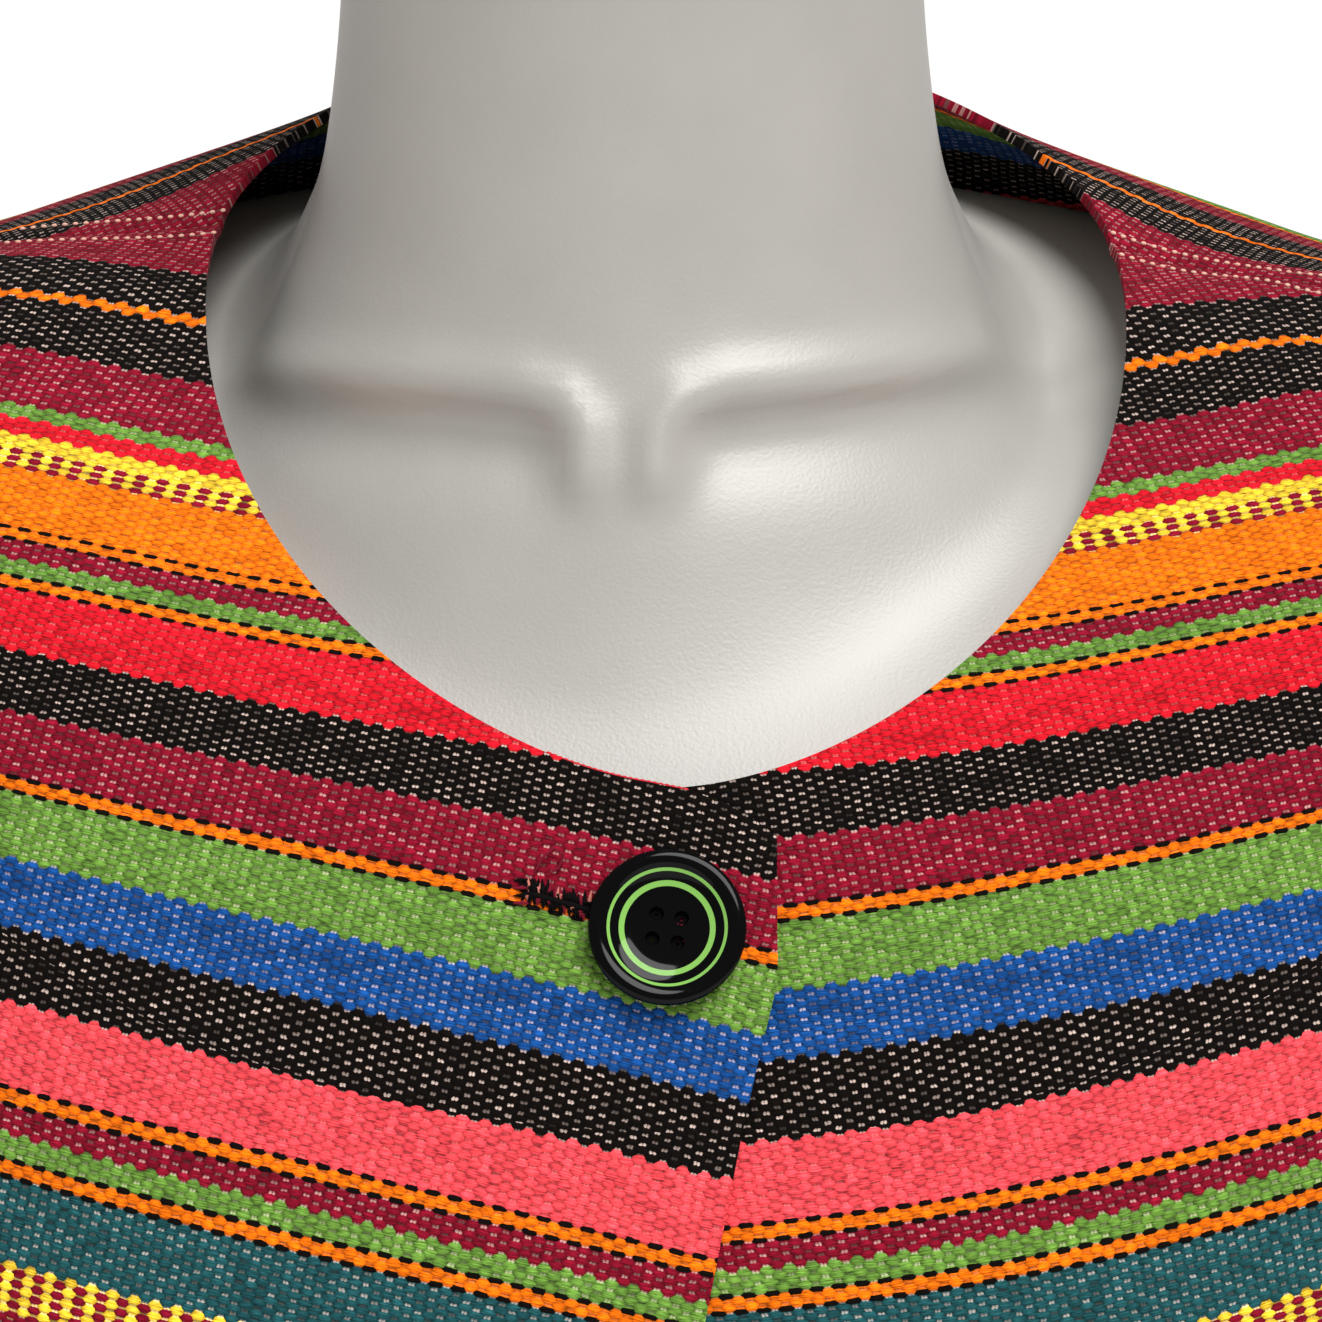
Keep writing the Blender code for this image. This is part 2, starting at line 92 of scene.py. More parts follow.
FORM_SECTIONS = (
    (0.000, 0.000, 0.000, 0.166, 0.090, 0.112, 2.20, 2.20, 1.30, 1.60),    # flat base
    (0.060, 0.060, 0.060, 0.171, 0.094, 0.120, 2.20, 2.20, 1.30, 1.60),    # hips
    (0.150, 0.150, 0.150, 0.151, 0.088, 0.098, 2.20, 2.20, 1.30, 1.60),    # belly
    (0.250, 0.250, 0.250, 0.122, 0.077, 0.070, 2.20, 2.20, 1.30, 1.60),    # waist
    (0.330, 0.330, 0.330, 0.134, 0.090, 0.082, 2.20, 2.20, 1.30, 1.60),    # ribs
    (0.410, 0.420, 0.420, 0.147, 0.120, 0.100, 2.20, 2.20, 1.30, 1.60),    # bust
    (0.440, 0.468, 0.466, 0.164, 0.116, 0.112, 2.20, 2.30, 1.30, 1.60),    # armpit
    (0.462, 0.526, 0.514, 0.184, 0.110, 0.113, 2.20, 2.30, 1.30, 1.60),    # stump of the arm
    (0.480, 0.568, 0.551, 0.187, 0.104, 0.109, 2.20, 2.30, 1.30, 1.60),    # shoulder end
    (0.494, 0.5827, 0.579, 0.167, 0.098, 0.101, 2.10, 2.30, 1.25, 1.40),   # top of the shoulder
    (0.507, 0.5867, 0.6007, 0.133, 0.089, 0.089, 2.00, 2.30, 1.20, 1.30),  # collarbones
    (0.524, 0.574, 0.611, 0.092, 0.077, 0.068, 1.75, 2.40, 1.00, 1.00),    # edge of the chest
    (0.551, 0.573, 0.621, 0.078, 0.066, 0.058, 1.80, 2.20, 1.00, 0.95),    # hollow by the neck
    (0.582, 0.593, 0.634, 0.0665, 0.057, 0.053, 1.90, 2.00, 1.00, 1.00),   # foot of the neck
    (0.608, 0.616, 0.644, 0.0595, 0.052, 0.051, 2.00, 2.00, 1.00, 1.00),   # low neck
    (0.650, 0.655, 0.662, 0.0555, 0.049, 0.050, 2.00, 2.00, 1.00, 1.00),   # middle of the neck
    (0.698, 0.698, 0.698, 0.0570, 0.052, 0.053, 2.00, 2.00, 1.00, 1.00),   # top of the neck
    (0.709, 0.709, 0.709, 0.0540, 0.049, 0.050, 2.00, 2.00, 1.00, 1.00),   # rounded rim
    (0.712, 0.712, 0.712, 0.0480, 0.043, 0.044, 2.00, 2.00, 1.00, 1.00),   # edge of the flat top
)
SHOULDER_POINT_TURN = radians(6)
SHOULDER_NECK_TURN = radians(8)
SHOULDER_BOWS = {1: radians(9), -1: 0.0}
ARMHOLE_FRONT = radians(30)
ARMHOLE_BACK = radians(27)
SLEEVE_COLUMNS = ("under_x", "under_z", "over_x", "over_z", "half_depth")
SLEEVE_SECTIONS = (
    (0.2178, 0.4370, 0.2120, 0.5680, 0.0735),
    (0.2230, 0.4330, 0.2310, 0.5570, 0.0775),
    (0.2262, 0.4210, 0.2480, 0.5360, 0.0800),
    (0.2272, 0.4060, 0.2620, 0.5040, 0.0810),
    (0.2276, 0.3900, 0.2710, 0.4620, 0.0805),
    (0.2290, 0.3600, 0.2770, 0.4050, 0.0785),    # upper arm
    (0.2340, 0.3000, 0.2820, 0.3150, 0.0735),
    (0.2400, 0.2300, 0.2860, 0.2350, 0.0680),    # elbow
    (0.2460, 0.1700, 0.2900, 0.1700, 0.0635),
    (0.2520, 0.1180, 0.2930, 0.1160, 0.0600),    # cuff
)
SLEEVE_SQUARE = 2.2
SLEEVE_HEAD = 0.0035
ARMHOLE_RADIUS = 0.072
DRAPE_WAVES = 9
DRAPE_DEPTH = 0.0030
DRAPE_TOP = 0.400
DRAPE_UNEVEN = 0.7
print("sections of the jacket and the form:", len(JACKET_SECTIONS), len(FORM_SECTIONS))

# %% [markdown]
# A body has no straight lines, but it does change slowly. A few measured sections, like the ribs of
# a boat, are enough, and a smooth curve through them gives every point between. Sculpting would also
# work, but then the cloth could not be told where to lie. Here each point has two addresses: place
# runs up through the sections, and turn goes round the body, with -90 degrees in front.

# %% The body surface
NORMAL_STEP = 0.02


def spline(rows, place, column):
    """Read one column of a table of sections at a place between its rows, along a smooth curve."""
    last = len(rows) - 1
    start = min(max(int(place), 0), last - 1)
    part = place - start
    here, after = rows[start][column], rows[start + 1][column]
    before = rows[start - 1][column] if start > 0 else 2 * here - after
    beyond = rows[start + 2][column] if start + 2 <= last else 2 * after - here
    cubed = 0.5 * (3 * (here - after) + beyond - before)
    squared = 0.5 * (2 * before - 5 * here + 4 * after - beyond)
    slope = 0.5 * (after - before)
    return ((cubed * part + squared) * part + slope) * part + here


def read_row(rows, columns, place):
    """All columns of a table at a place between its rows, by name."""
    return {name: spline(rows, place, column) for column, name in enumerate(columns)}


def smooth_step(value, start, stop):
    """Rise softly from 0 at start to 1 at stop."""
    share = min(max((value - start) / (stop - start), 0.0), 1.0)
    return share * share * (3 - 2 * share)


def rounded(value, square):
    """The cosine or sine of a turn, bent so that the oval it makes is boxier or more pointed."""
    return (1 if value >= 0 else -1) * abs(value) ** (2.0 / square)


def section_point(rows, place, turn):
    """A point of a surface at one place up its table and one turn round it."""
    row = read_row(rows, SECTION_COLUMNS, place)
    along = sin(turn)
    depth, height, bend = ("front", "z_front", "front_bend") if along < 0 else (
        "back", "z_back", "back_bend")
    lift = (row[height] - row["z_side"]) * abs(along) ** row[bend]
    return Vector((row["half_width"] * rounded(cos(turn), row["square"]),
                   row[depth] * rounded(along, row["depth_square"]),
                   row["z_side"] + lift))


def jacket_point(place, turn):
    """A point on the middle of the jacket's cloth, with its soft waves and its skew on the form."""
    point = section_point(JACKET_SECTIONS, place, turn)
    hem_height = JACKET_SECTIONS[HEM_ROW][0]
    fade = smooth_step(DRAPE_TOP - point.z, 0.0, DRAPE_TOP - hem_height)
    wave = sin(DRAPE_WAVES * turn + DRAPE_UNEVEN * sin(2 * turn))
    outward = Vector((point.x, point.y, 0.0)).normalized()
    point += outward * (DRAPE_DEPTH * fade * wave)
    drop = SKEW_DROP * tanh(point.x / SKEW_WIDTH)
    return point + Vector((JACKET_SHIFT, 0.0, -drop))


def jacket_normal(place, turn):
    """The outward direction of the jacket's surface."""
    round_it = jacket_point(place, turn + NORMAL_STEP) - jacket_point(place, turn - NORMAL_STEP)
    lower = max(place - NORMAL_STEP, HEM_ROW)
    upper = min(place + NORMAL_STEP, NECK_ROW)
    up_it = jacket_point(upper, turn) - jacket_point(lower, turn)
    return round_it.cross(up_it).normalized()


breast = jacket_point(UNDERARM_ROW, radians(-90))
print("middle of the chest at the underarm:", [round(value, 4) for value in breast])

# %% [markdown]
# The pieces meet at seams, so their edges come from one rule each: a straight side seam, an oval
# armhole and a shoulder seam that leans back. Both pieces at a seam read the same rule, and each
# stops a fifth of a millimetre short of it. The fronts also overlap, so near the middle one is lifted
# and the other pressed in.

# %% The edges of the pieces
def turn_at(place, x):
    """The turn at which the front of a section lies a distance x from the centre front."""
    row = read_row(JACKET_SECTIONS, SECTION_COLUMNS, place)
    share = (abs(x) / row["half_width"]) ** (row["square"] / 2)
    return -pi / 2 + (1 if x >= 0 else -1) * asin(share)


def on_side(turn, side):
    """The same turn on the wearer's left, where side is 1, or mirrored to the right, where it is -1."""
    return turn if side > 0 else pi - turn


def armhole_turn(height, width, armhole_cut):
    """The armhole is an oval on the body surface: height and width are its cosine and sine."""
    return (1 + height) / 2 * SHOULDER_POINT_TURN + armhole_cut * width


def seam_turn(place, armhole_cut, side):
    """Where front and back meet, or the armhole's edge between them, as if on the left side."""
    if place <= UNDERARM_ROW:
        return 0.0
    if place >= SHOULDER_ROW:
        share = (place - SHOULDER_ROW) / (NECK_ROW - SHOULDER_ROW)
        straight = SHOULDER_POINT_TURN + share * (SHOULDER_NECK_TURN - SHOULDER_POINT_TURN)
        return straight - SHOULDER_BOWS[side] * sin(pi * share)
    middle = (UNDERARM_ROW + SHOULDER_ROW) / 2
    height = (place - middle) / (SHOULDER_ROW - middle)
    return armhole_turn(height, sqrt(max(1 - height * height, 0.0)), armhole_cut)


def front_edge_x(place):
    """How far a front runs past the centre front, less and less below the button."""
    height = spline(JACKET_SECTIONS, place, SECTION_COLUMNS.index("z_front"))
    return OVERLAP_HALF - max(PART_HEIGHT - height, 0.0) * PART_SLOPE


def corner_drop(place, past):
    """How far a point past the centre front moves down its table, to round the upper corner."""
    if past <= CORNER_START or place <= SHOULDER_ROW:
        return 0.0
    across = (past - CORNER_START) / (OVERLAP_HALF - CORNER_START)
    up = (place - SHOULDER_ROW) / (NECK_ROW - SHOULDER_ROW)
    return CORNER_DROP * up * min(across, 1.0) ** CORNER_BEND


print("the right front passes the centre by", front_edge_x(SHOULDER_ROW), "m at the top")

# %% [markdown]
# Every body piece has the same rows, so that two pieces match point for point at their seam. The
# points of a row are spread evenly along it. Equal turns would be simpler, but they crowd the
# points where the body is narrow.

# %% The rows of the pieces
LOWER_CELLS = 72
ARMHOLE_CELLS = 80
YOKE_CELLS = 40
FRONT_COLUMNS = 96
BACK_COLUMNS = 144
ROW_SAMPLES = 160


def panel_places():
    """The rows of every body piece, the same on each so that their seams match point for point."""
    lower = [UNDERARM_ROW * cell / LOWER_CELLS for cell in range(LOWER_CELLS)]
    middle = (UNDERARM_ROW + SHOULDER_ROW) / 2
    armhole = [middle - cos(pi * cell / ARMHOLE_CELLS) for cell in range(ARMHOLE_CELLS)]
    yoke = [SHOULDER_ROW + (NECK_ROW - SHOULDER_ROW) * cell / YOKE_CELLS
            for cell in range(YOKE_CELLS + 1)]
    return lower + armhole + yoke


def even_row(place, start, stop, columns, trims):
    """Points spread evenly along one row between two turns, each with its turn."""
    turns = [start + (stop - start) * sample / ROW_SAMPLES for sample in range(ROW_SAMPLES + 1)]
    points = [jacket_point(place, turn) for turn in turns]
    lengths = [0.0]
    for before, after in zip(points, points[1:]):
        lengths.append(lengths[-1] + (after - before).length)
    first, last = trims[0], lengths[-1] - trims[1]
    row = []
    sample = 0
    for column in range(columns + 1):
        length = first + (last - first) * column / columns
        while sample < ROW_SAMPLES - 1 and lengths[sample + 1] < length:
            sample += 1
        share = (length - lengths[sample]) / (lengths[sample + 1] - lengths[sample])
        turn = turns[sample] + share * (turns[sample + 1] - turns[sample])
        row.append((points[sample].lerp(points[sample + 1], share), turn))
    return row


print("rows of a body piece:", len(panel_places()))

# %% [markdown]
# Thick cotton doesn't hang in sharp folds. It has broad hollows and rolls where it is pulled or
# pushed, and these are placed from one table. A fold is a line on the cloth, seen from the
# front or the back, with a width and a height. The height falls away to both sides like a bell.
# Cloth simulation could find such folds too, but not in the places where this jacket has them.

# %% Soft folds placed from a table
FOLD_COLUMNS = ("face", "x", "z", "to_x", "to_z", "width", "height")
FOLDS = (
    ("front", -0.062, 0.600, -0.125, 0.585, 0.009, 0.0016),      # roll beside the right shoulder seam
    ("front", 0.088, 0.590, 0.135, 0.572, 0.008, 0.0018),        # roll beside the left shoulder seam
    ("front", -0.030, 0.476, -0.120, 0.462, 0.011, 0.0010),      # pull from the buttonhole
    ("front", 0.040, 0.470, 0.110, 0.455, 0.013, 0.0009),
    ("front", 0.060, 0.395, 0.150, 0.340, 0.014, 0.0040),        # from the edge out to the side
    ("front", -0.070, 0.380, -0.160, 0.330, 0.015, 0.0044),
    ("front", -0.145, 0.470, -0.185, 0.390, 0.011, 0.0046),      # below the armhole
    ("front", 0.148, 0.462, 0.190, 0.385, 0.011, 0.0042),
    ("front", 0.110, 0.300, 0.160, 0.190, 0.015, 0.0052),        # opening towards the hem
    ("front", -0.105, 0.310, -0.148, 0.190, 0.016, 0.0048),
    ("back", -0.050, 0.520, -0.160, 0.470, 0.014, 0.0040),       # across the shoulder blades
    ("back", 0.055, 0.530, 0.160, 0.485, 0.013, 0.0044),
    ("back", -0.120, 0.450, -0.180, 0.350, 0.012, 0.0052),       # below the armhole
    ("back", 0.130, 0.460, 0.185, 0.360, 0.012, 0.0048),
    ("back", -0.045, 0.380, -0.070, 0.190, 0.018, 0.0058),       # hanging from the shoulder blade
    ("back", 0.070, 0.390, 0.092, 0.190, 0.017, 0.0054),
    ("back", 0.012, 0.340, 0.000, 0.200, 0.016, -0.0036),        # the hollow of the back
)
FOLD_END = 0.15
SIDE_FADE = 0.030


def fold_height(point):
    """How far the folds lift the cloth at a point."""
    face = "front" if point.y < 0 else "back"
    lift = 0.0
    for row in FOLDS:
        fold = dict(zip(FOLD_COLUMNS, row))
        if fold["face"] != face:
            continue
        start = Vector((fold["x"], fold["z"]))
        run = Vector((fold["to_x"], fold["to_z"])) - start
        away = Vector((point.x, point.z)) - start
        share = min(max(away.dot(run) / run.length_squared, 0.0), 1.0)
        apart = (away - run * share).length / fold["width"]
        along = FOLD_END + (1 - 2 * FOLD_END) * share
        lift += fold["height"] * exp(-apart * apart) * sin(pi * along)
    return lift * smooth_step(abs(point.y), 0.0, SIDE_FADE)


print("folds on the fronts and the back:", len(FOLDS))

# %% [markdown]
# A net is a table of points: each row runs across a piece, and each column runs up it. Patches of
# free faces could cover the body as well, but a net keeps the order of the threads. At a seam the
# cloth is turned in, so it dips a little there.

# %% The nets of the fronts and the back
SEAM_DIP = 0.0009
SEAM_SOFTNESS = 0.0022


def seam_dip(point, seam_point):
    """How far the cloth sinks towards a seam, where its turned edges pull it in."""
    apart = (point - seam_point).length / SEAM_SOFTNESS
    return SEAM_DIP * exp(-apart * apart)


def front_net(side, layer):
    """One front. layer is 1 for the front on top and -1 for the one under it."""
    net = []
    for place in panel_places():
        start = on_side(turn_at(place, -front_edge_x(place)), side)
        stop = on_side(seam_turn(place, -ARMHOLE_FRONT, side), side)
        row = even_row(place, start, stop, FRONT_COLUMNS, (0.0, SEAM_GAP / 2))
        points = []
        for point, turn in row:
            x = point.x - JACKET_SHIFT
            drop = corner_drop(place, -side * x)
            if drop > 0:
                turn = turn_at(place - drop, x)
                point = jacket_point(place - drop, turn)
            share = 1 - smooth_step(side * x, LAYER_FLAT, LAYER_END)
            lift = layer * share * (WALL + LAYER_GAP) / 2 + (1 - share) * fold_height(point)
            lift -= seam_dip(point, row[-1][0])
            points.append(point + jacket_normal(place - drop, turn) * lift)
        net.append(points)
    return net


def back_net():
    """The back, from the wearer's left side seam to the right one."""
    net = []
    for place in panel_places():
        start = seam_turn(place, ARMHOLE_BACK, 1)
        stop = pi - seam_turn(place, ARMHOLE_BACK, -1)
        row = even_row(place, start, stop, BACK_COLUMNS, (SEAM_GAP / 2, SEAM_GAP / 2))
        points = []
        for point, turn in row:
            dip = seam_dip(point, row[0][0]) + seam_dip(point, row[-1][0])
            points.append(point + jacket_normal(place, turn) * (fold_height(point) - dip))
        net.append(points)
    return net


body_nets = {
    "front_right_cloth": front_net(-1, 1),
    "front_left_cloth": front_net(1, -1),
    "back_cloth": back_net(),
}
print("points on each net:", {name: len(net) * len(net[0]) for name, net in body_nets.items()})

# %% [markdown]
# To know where a stripe runs, each net is laid flat again, as if the jacket were unpicked. Every
# point is joined to its neighbours, straight and diagonal, by a string of the length it has on the
# body. The flat points are then pulled and pushed until the strings fit. A coarse net settles first
# and the finer one starts from it, because a wide correction crosses a fine net very slowly.

# %% Laying the pieces flat
NEIGHBOURS = ((0, 1), (1, 0), (1, 1), (1, -1))
COARSEST = 30
COARSE_TURNS = 2500
FINE_TURNS = 150
STRING_PULL = 1.5
CLOSEST = 10
DEPTH_SHARE = 0.9
HALF_WIDTH, HALF_DEPTH, HEM_SQUARE = 0.226, 0.126, 2.7
CHEST_START, CHEST_RISE = 0.40, 0.20


def first_lay(points, middle):
    """A rough flat lay: the distance along each row, and the height with a share of the depth."""
    steps = np.linalg.norm(np.diff(points, axis=1), axis=2)
    across = np.concatenate([np.zeros((len(points), 1)), np.cumsum(steps, axis=1)], axis=1)
    if middle:
        across -= across[:, -1:] / 2
    face = np.sign(points[0, :, 1].mean())
    oval = 1 - np.clip(np.abs(points[:, :, 0] - JACKET_SHIFT) / HALF_WIDTH, 0, 1) ** HEM_SQUARE
    inward = HALF_DEPTH * oval ** (1 / HEM_SQUARE) - face * points[:, :, 1]
    chest = np.clip((points[:, :, 2] - CHEST_START) / CHEST_RISE, 0, 1)
    return np.stack([across, points[:, :, 2] + DEPTH_SHARE * inward * chest], axis=2)


def settle(flat, points, turns):
    """Pull the flat points together or push them apart until their strings fit."""
    rows, columns = flat.shape[:2]
    strings = []
    for down, right in NEIGHBOURS:
        here = (slice(0, rows - down), slice(max(0, -right), columns - max(0, right)))
        there = (slice(down, rows), slice(max(0, right), columns - max(0, -right)))
        strings.append((here, there, np.linalg.norm(points[there] - points[here], axis=2)))
    count = np.zeros((rows, columns, 1))
    for here, there, _ in strings:
        count[here] += 1
        count[there] += 1
    for _ in range(turns):
        move = np.zeros_like(flat)
        for here, there, length in strings:
            apart = flat[there] - flat[here]
            now = np.linalg.norm(apart, axis=2)
            pull = ((now - length) / np.maximum(now, length / CLOSEST) / 2)[..., None] * apart
            move[here] += pull
            move[there] -= pull
        flat = flat + move / count * STRING_PULL
    return flat


def lay_flat(points, middle):
    """Lay a net flat, a coarse half of it first."""
    if min(points.shape[:2]) <= COARSEST:
        return settle(first_lay(points, middle), points, COARSE_TURNS)
    coarse = lay_flat(points[::2, ::2], middle)
    flat = np.zeros(points.shape[:2] + (2,))
    flat[::2, ::2] = coarse
    flat[1::2, ::2] = (coarse[1:] + coarse[:-1]) / 2
    flat[:, 1::2] = (flat[:, 2::2] + flat[:, :-1:2]) / 2
    return settle(flat, points, FINE_TURNS)


def as_array(net):
    """A net of points as one array."""
    return np.array([[tuple(point) for point in row] for row in net])


lays = {name: lay_flat(as_array(net), name == "back_cloth") for name, net in body_nets.items()}
for name, flat in lays.items():
    low, high = flat.min(axis=(0, 1)), flat.max(axis=(0, 1))
    print(name, "lies flat in", (high - low).round(3), "m")

# %% [markdown]
# Striped handwoven cotton is made on a narrow loom. The colours are all in the yarns that run along
# the stripes. The cross yarns are one pale colour, and they show as short dashes wherever they pass
# over. So one list of stripes describes the cloth: the colour, the width on the cloth in
# millimetres and the number of yarns. Lines are single black yarns with orange between them.

# %% The chart of stripes
def line(width):
    """A line: one black yarn, two orange and one black."""
    return (("thin_black", width / 4, 1), ("orange", width / 2, 2), ("thin_black", width / 4, 1))


UPPER_CHART = (
    ("maroon", 30.0, 36), ("black", 12.7, 13), ("orange", 2.2, 2), ("black", 11.8, 15),
    ("maroon", 12.4, 15), ("green", 2.7, 4), ("red", 3.5, 5), ("yellow", 2.6, 3),
    ("check", 4.3, 6), ("orange", 11.7, 15), *line(2.7), ("maroon", 3.6, 5), ("green", 2.7, 4),
    *line(3.0), ("red", 11.1, 15), ("black", 11.0, 15), ("maroon", 11.1, 14), *line(3.3),
    ("green", 11.1, 14), ("blue", 11.6, 14), ("black", 14.0, 15), ("coral", 13.3, 15),
)
LOWER_CHART = (
    *line(3.5), ("maroon", 4.2, 5), ("green", 3.7, 4), *line(3.5), ("teal", 12.4, 15),
    ("check", 8.0, 10), ("maroon", 19.0, 22), ("black", 12.0, 14), ("orange", 2.0, 2),
    ("black", 12.0, 14), ("maroon", 11.0, 14), *line(3.3), ("green", 11.1, 14),
    ("blue", 11.6, 14), ("black", 14.0, 15), ("coral", 13.3, 15), *line(3.5),
    ("maroon", 4.2, 5), ("green", 3.7, 4), *line(3.5), ("teal", 12.4, 15), ("check", 5.0, 6),
)
COLUMN_PITCH = 0.00198


def chart_edges():
    """The edges of all stripes, in metres down the cloth and in yarns."""
    lengths, yarns = [0.0], [0]
    for _, width, count in UPPER_CHART + LOWER_CHART:
        lengths.append(lengths[-1] + width / 1000)
        yarns.append(yarns[-1] + count)
    return lengths, yarns


CHART_LENGTHS, CHART_YARNS = chart_edges()
CHART_LENGTH, CHART_TOTAL = CHART_LENGTHS[-1], CHART_YARNS[-1]
UPPER_YARNS = sum(count for _, _, count in UPPER_CHART)
FRONT_LINE = CHART_LENGTHS[UPPER_CHART.index(("maroon", 11.1, 14))]
BACK_LINE = CHART_LENGTHS[len(UPPER_CHART) + LOWER_CHART.index(("maroon", 19.0, 22)) + 1]


def yarns_at(down):
    """The number of yarns passed at a distance down the cloth, which repeats the whole chart."""
    repeats = np.floor(down / CHART_LENGTH)
    rest = down - repeats * CHART_LENGTH
    return np.interp(rest, CHART_LENGTHS, CHART_YARNS) + (repeats + 1) * CHART_TOTAL


print("one repeat is", round(CHART_LENGTH, 3), "m and", CHART_TOTAL, "yarns")

# %% [markdown]
# Each flat piece is then put on the striped cloth as a cutter would. Handwoven cloth also gives a
# little, so the stripes rise towards the shoulders and sag near the front edge. That is a soft
# correction with a few terms for each front, and it stops growing outside the part that the photo
# shows. On the back the stripes bend down a little beside the neck.

# %% Where each piece lies on the striped cloth
LIE_MIDDLE, LIE_REACH = (0.100, 0.520), (0.100, 0.080)
LIE_LIMITS = ((-0.90, 1.00), (-1.15, 1.40))
LIES = {
    "front_right_cloth": (0.53279, -0.79, -5.61, 1.59, 5.31, -2.37, -1.50, 5.11, 2.48, -2.97),
    "front_left_cloth": (0.52634, 1.26, -4.22, -3.02, 7.37, -2.36, 1.77, 5.05, 2.43, -2.70),
}
BACK_LINE_HEIGHT = 0.686
SHOULDER_DRAG = 0.026
DRAG_ACROSS, DRAG_UP = (0.060, 0.052), (0.610, 0.062)
BACK_SLANT, BACK_SLANT_REACH = -0.045, 0.115


def front_threads(flat, lie):
    """The thread numbers of a front. lie is the height of its line, then the bends in millimetres."""
    across, up = (np.clip((flat[:, :, axis] - LIE_MIDDLE[axis]) / LIE_REACH[axis],
                          *LIE_LIMITS[axis]) for axis in (0, 1))
    terms = (across, up, across ** 2, across * up, up ** 2, across ** 3, across ** 2 * up,
             across * up ** 2, up ** 3)
    bend = sum(amount * term for amount, term in zip(lie[1:], terms)) / 1000
    return as_threads(flat[:, :, 0], FRONT_LINE + lie[0] - flat[:, :, 1] - bend)


def back_threads(flat):
    """The thread numbers of the back, dragged down beside the neck."""
    outer = np.clip((np.abs(flat[:, :, 0]) - DRAG_ACROSS[0]) / DRAG_ACROSS[1], 0, 1)
    upper = np.clip((flat[:, :, 1] - DRAG_UP[0]) / DRAG_UP[1], 0, 1)
    drag = SHOULDER_DRAG * outer ** 2 * (3 - 2 * outer) * upper ** 2 * (3 - 2 * upper)
    drag += BACK_SLANT * np.clip(-flat[:, :, 0], 0, BACK_SLANT_REACH)
    return as_threads(flat[:, :, 0], BACK_LINE + BACK_LINE_HEIGHT - flat[:, :, 1] - drag)


def as_threads(across, down):
    """Turn metres on the cloth into the number of the cross yarn and of the stripe yarn."""
    return np.stack([across / COLUMN_PITCH + CHART_TOTAL, yarns_at(down) - 0.5], axis=2)


body_threads = {name: front_threads(lays[name], lie) for name, lie in LIES.items()}
body_threads["back_cloth"] = back_threads(lays["back_cloth"])
for name, threads in body_threads.items():
    print(name, "runs from yarn", int(threads[..., 1].min()), "to", int(threads[..., 1].max()))

# %% [markdown]
# A sleeve is a tube. Its flat piece is easier, because the cloth only bends one way: the distance
# from the cuff along the arm numbers the stripe yarns, and the distance round it the cross yarns.
# A sleeve folds more than the body does: at the elbow, under the arm and across its outside. These
# folds come from a table of their own, and each slants round the arm.

# %% The folds of the sleeves
SLEEVE_FOLD_COLUMNS = ("height", "slope", "facing", "width", "depth")
SLEEVE_FOLDS = (
    (0.440, 0.030, 150, 0.009, 0.0040),      # dragged up to the armhole
    (0.408, -0.035, 200, 0.010, 0.0042),
    (0.360, 0.030, 190, 0.009, 0.0036),
    (0.288, -0.030, 100, 0.009, 0.0050),     # inside of the elbow
    (0.258, 0.028, 120, 0.008, 0.0056),
    (0.228, -0.022, 90, 0.009, 0.0044),
    (0.318, 0.034, 330, 0.012, 0.0030),      # across the outside of the arm
    (0.240, -0.030, 350, 0.012, 0.0026),
    (0.165, 0.026, 300, 0.010, 0.0028),
)
UNLIKE_TURN, UNLIKE_HEIGHT = 12, 0.006
FOLD_FALL = 1.5


def sleeve_fold(height, angle, side):
    """How far the sleeve's folds lift its cloth. The two sleeves don't fold alike."""
    lift = 0.0
    for number, row in enumerate(SLEEVE_FOLDS):
        fold = dict(zip(SLEEVE_FOLD_COLUMNS, row))
        unlike = side * (-1) ** number
        turn = angle - radians(fold["facing"] + UNLIKE_TURN * unlike)
        rise = fold["height"] + UNLIKE_HEIGHT * unlike + side * fold["slope"] * sin(turn)
        apart = (height - rise) / fold["width"]
        lift += fold["depth"] * exp(-apart * apart) * max(cos(turn), 0.0) ** FOLD_FALL
    return lift


print("folds of a sleeve:", len(SLEEVE_FOLDS))

# %% [markdown]
# The net of a sleeve starts with two rings on the body surface, so that the sleeve grows out of its
# armhole. Oval rings follow down the arm. A plain tube cut off at the body would leave a gap there.

# %% The nets of the sleeves
SLEEVE_CELLS = 110
FOLDS_START, FOLDS_FULL = 1.0, 3.0


def armhole_ring(side, inset):
    """The armhole's outline drawn in by a length, on the body surface."""
    share = 1 - inset / ARMHOLE_RADIUS
    middle = (UNDERARM_ROW + SHOULDER_ROW) / 2
    reach = (SHOULDER_ROW - UNDERARM_ROW) / 2
    ring = []
    for step in range(2 * ARMHOLE_CELLS):
        angle = pi * step / ARMHOLE_CELLS
        cut = -ARMHOLE_FRONT if angle < pi else ARMHOLE_BACK
        turn = armhole_turn(cos(angle) * share, abs(sin(angle)) * share, cut)
        ring.append(jacket_point(middle + reach * cos(angle) * share, on_side(turn, side)))
    return ring


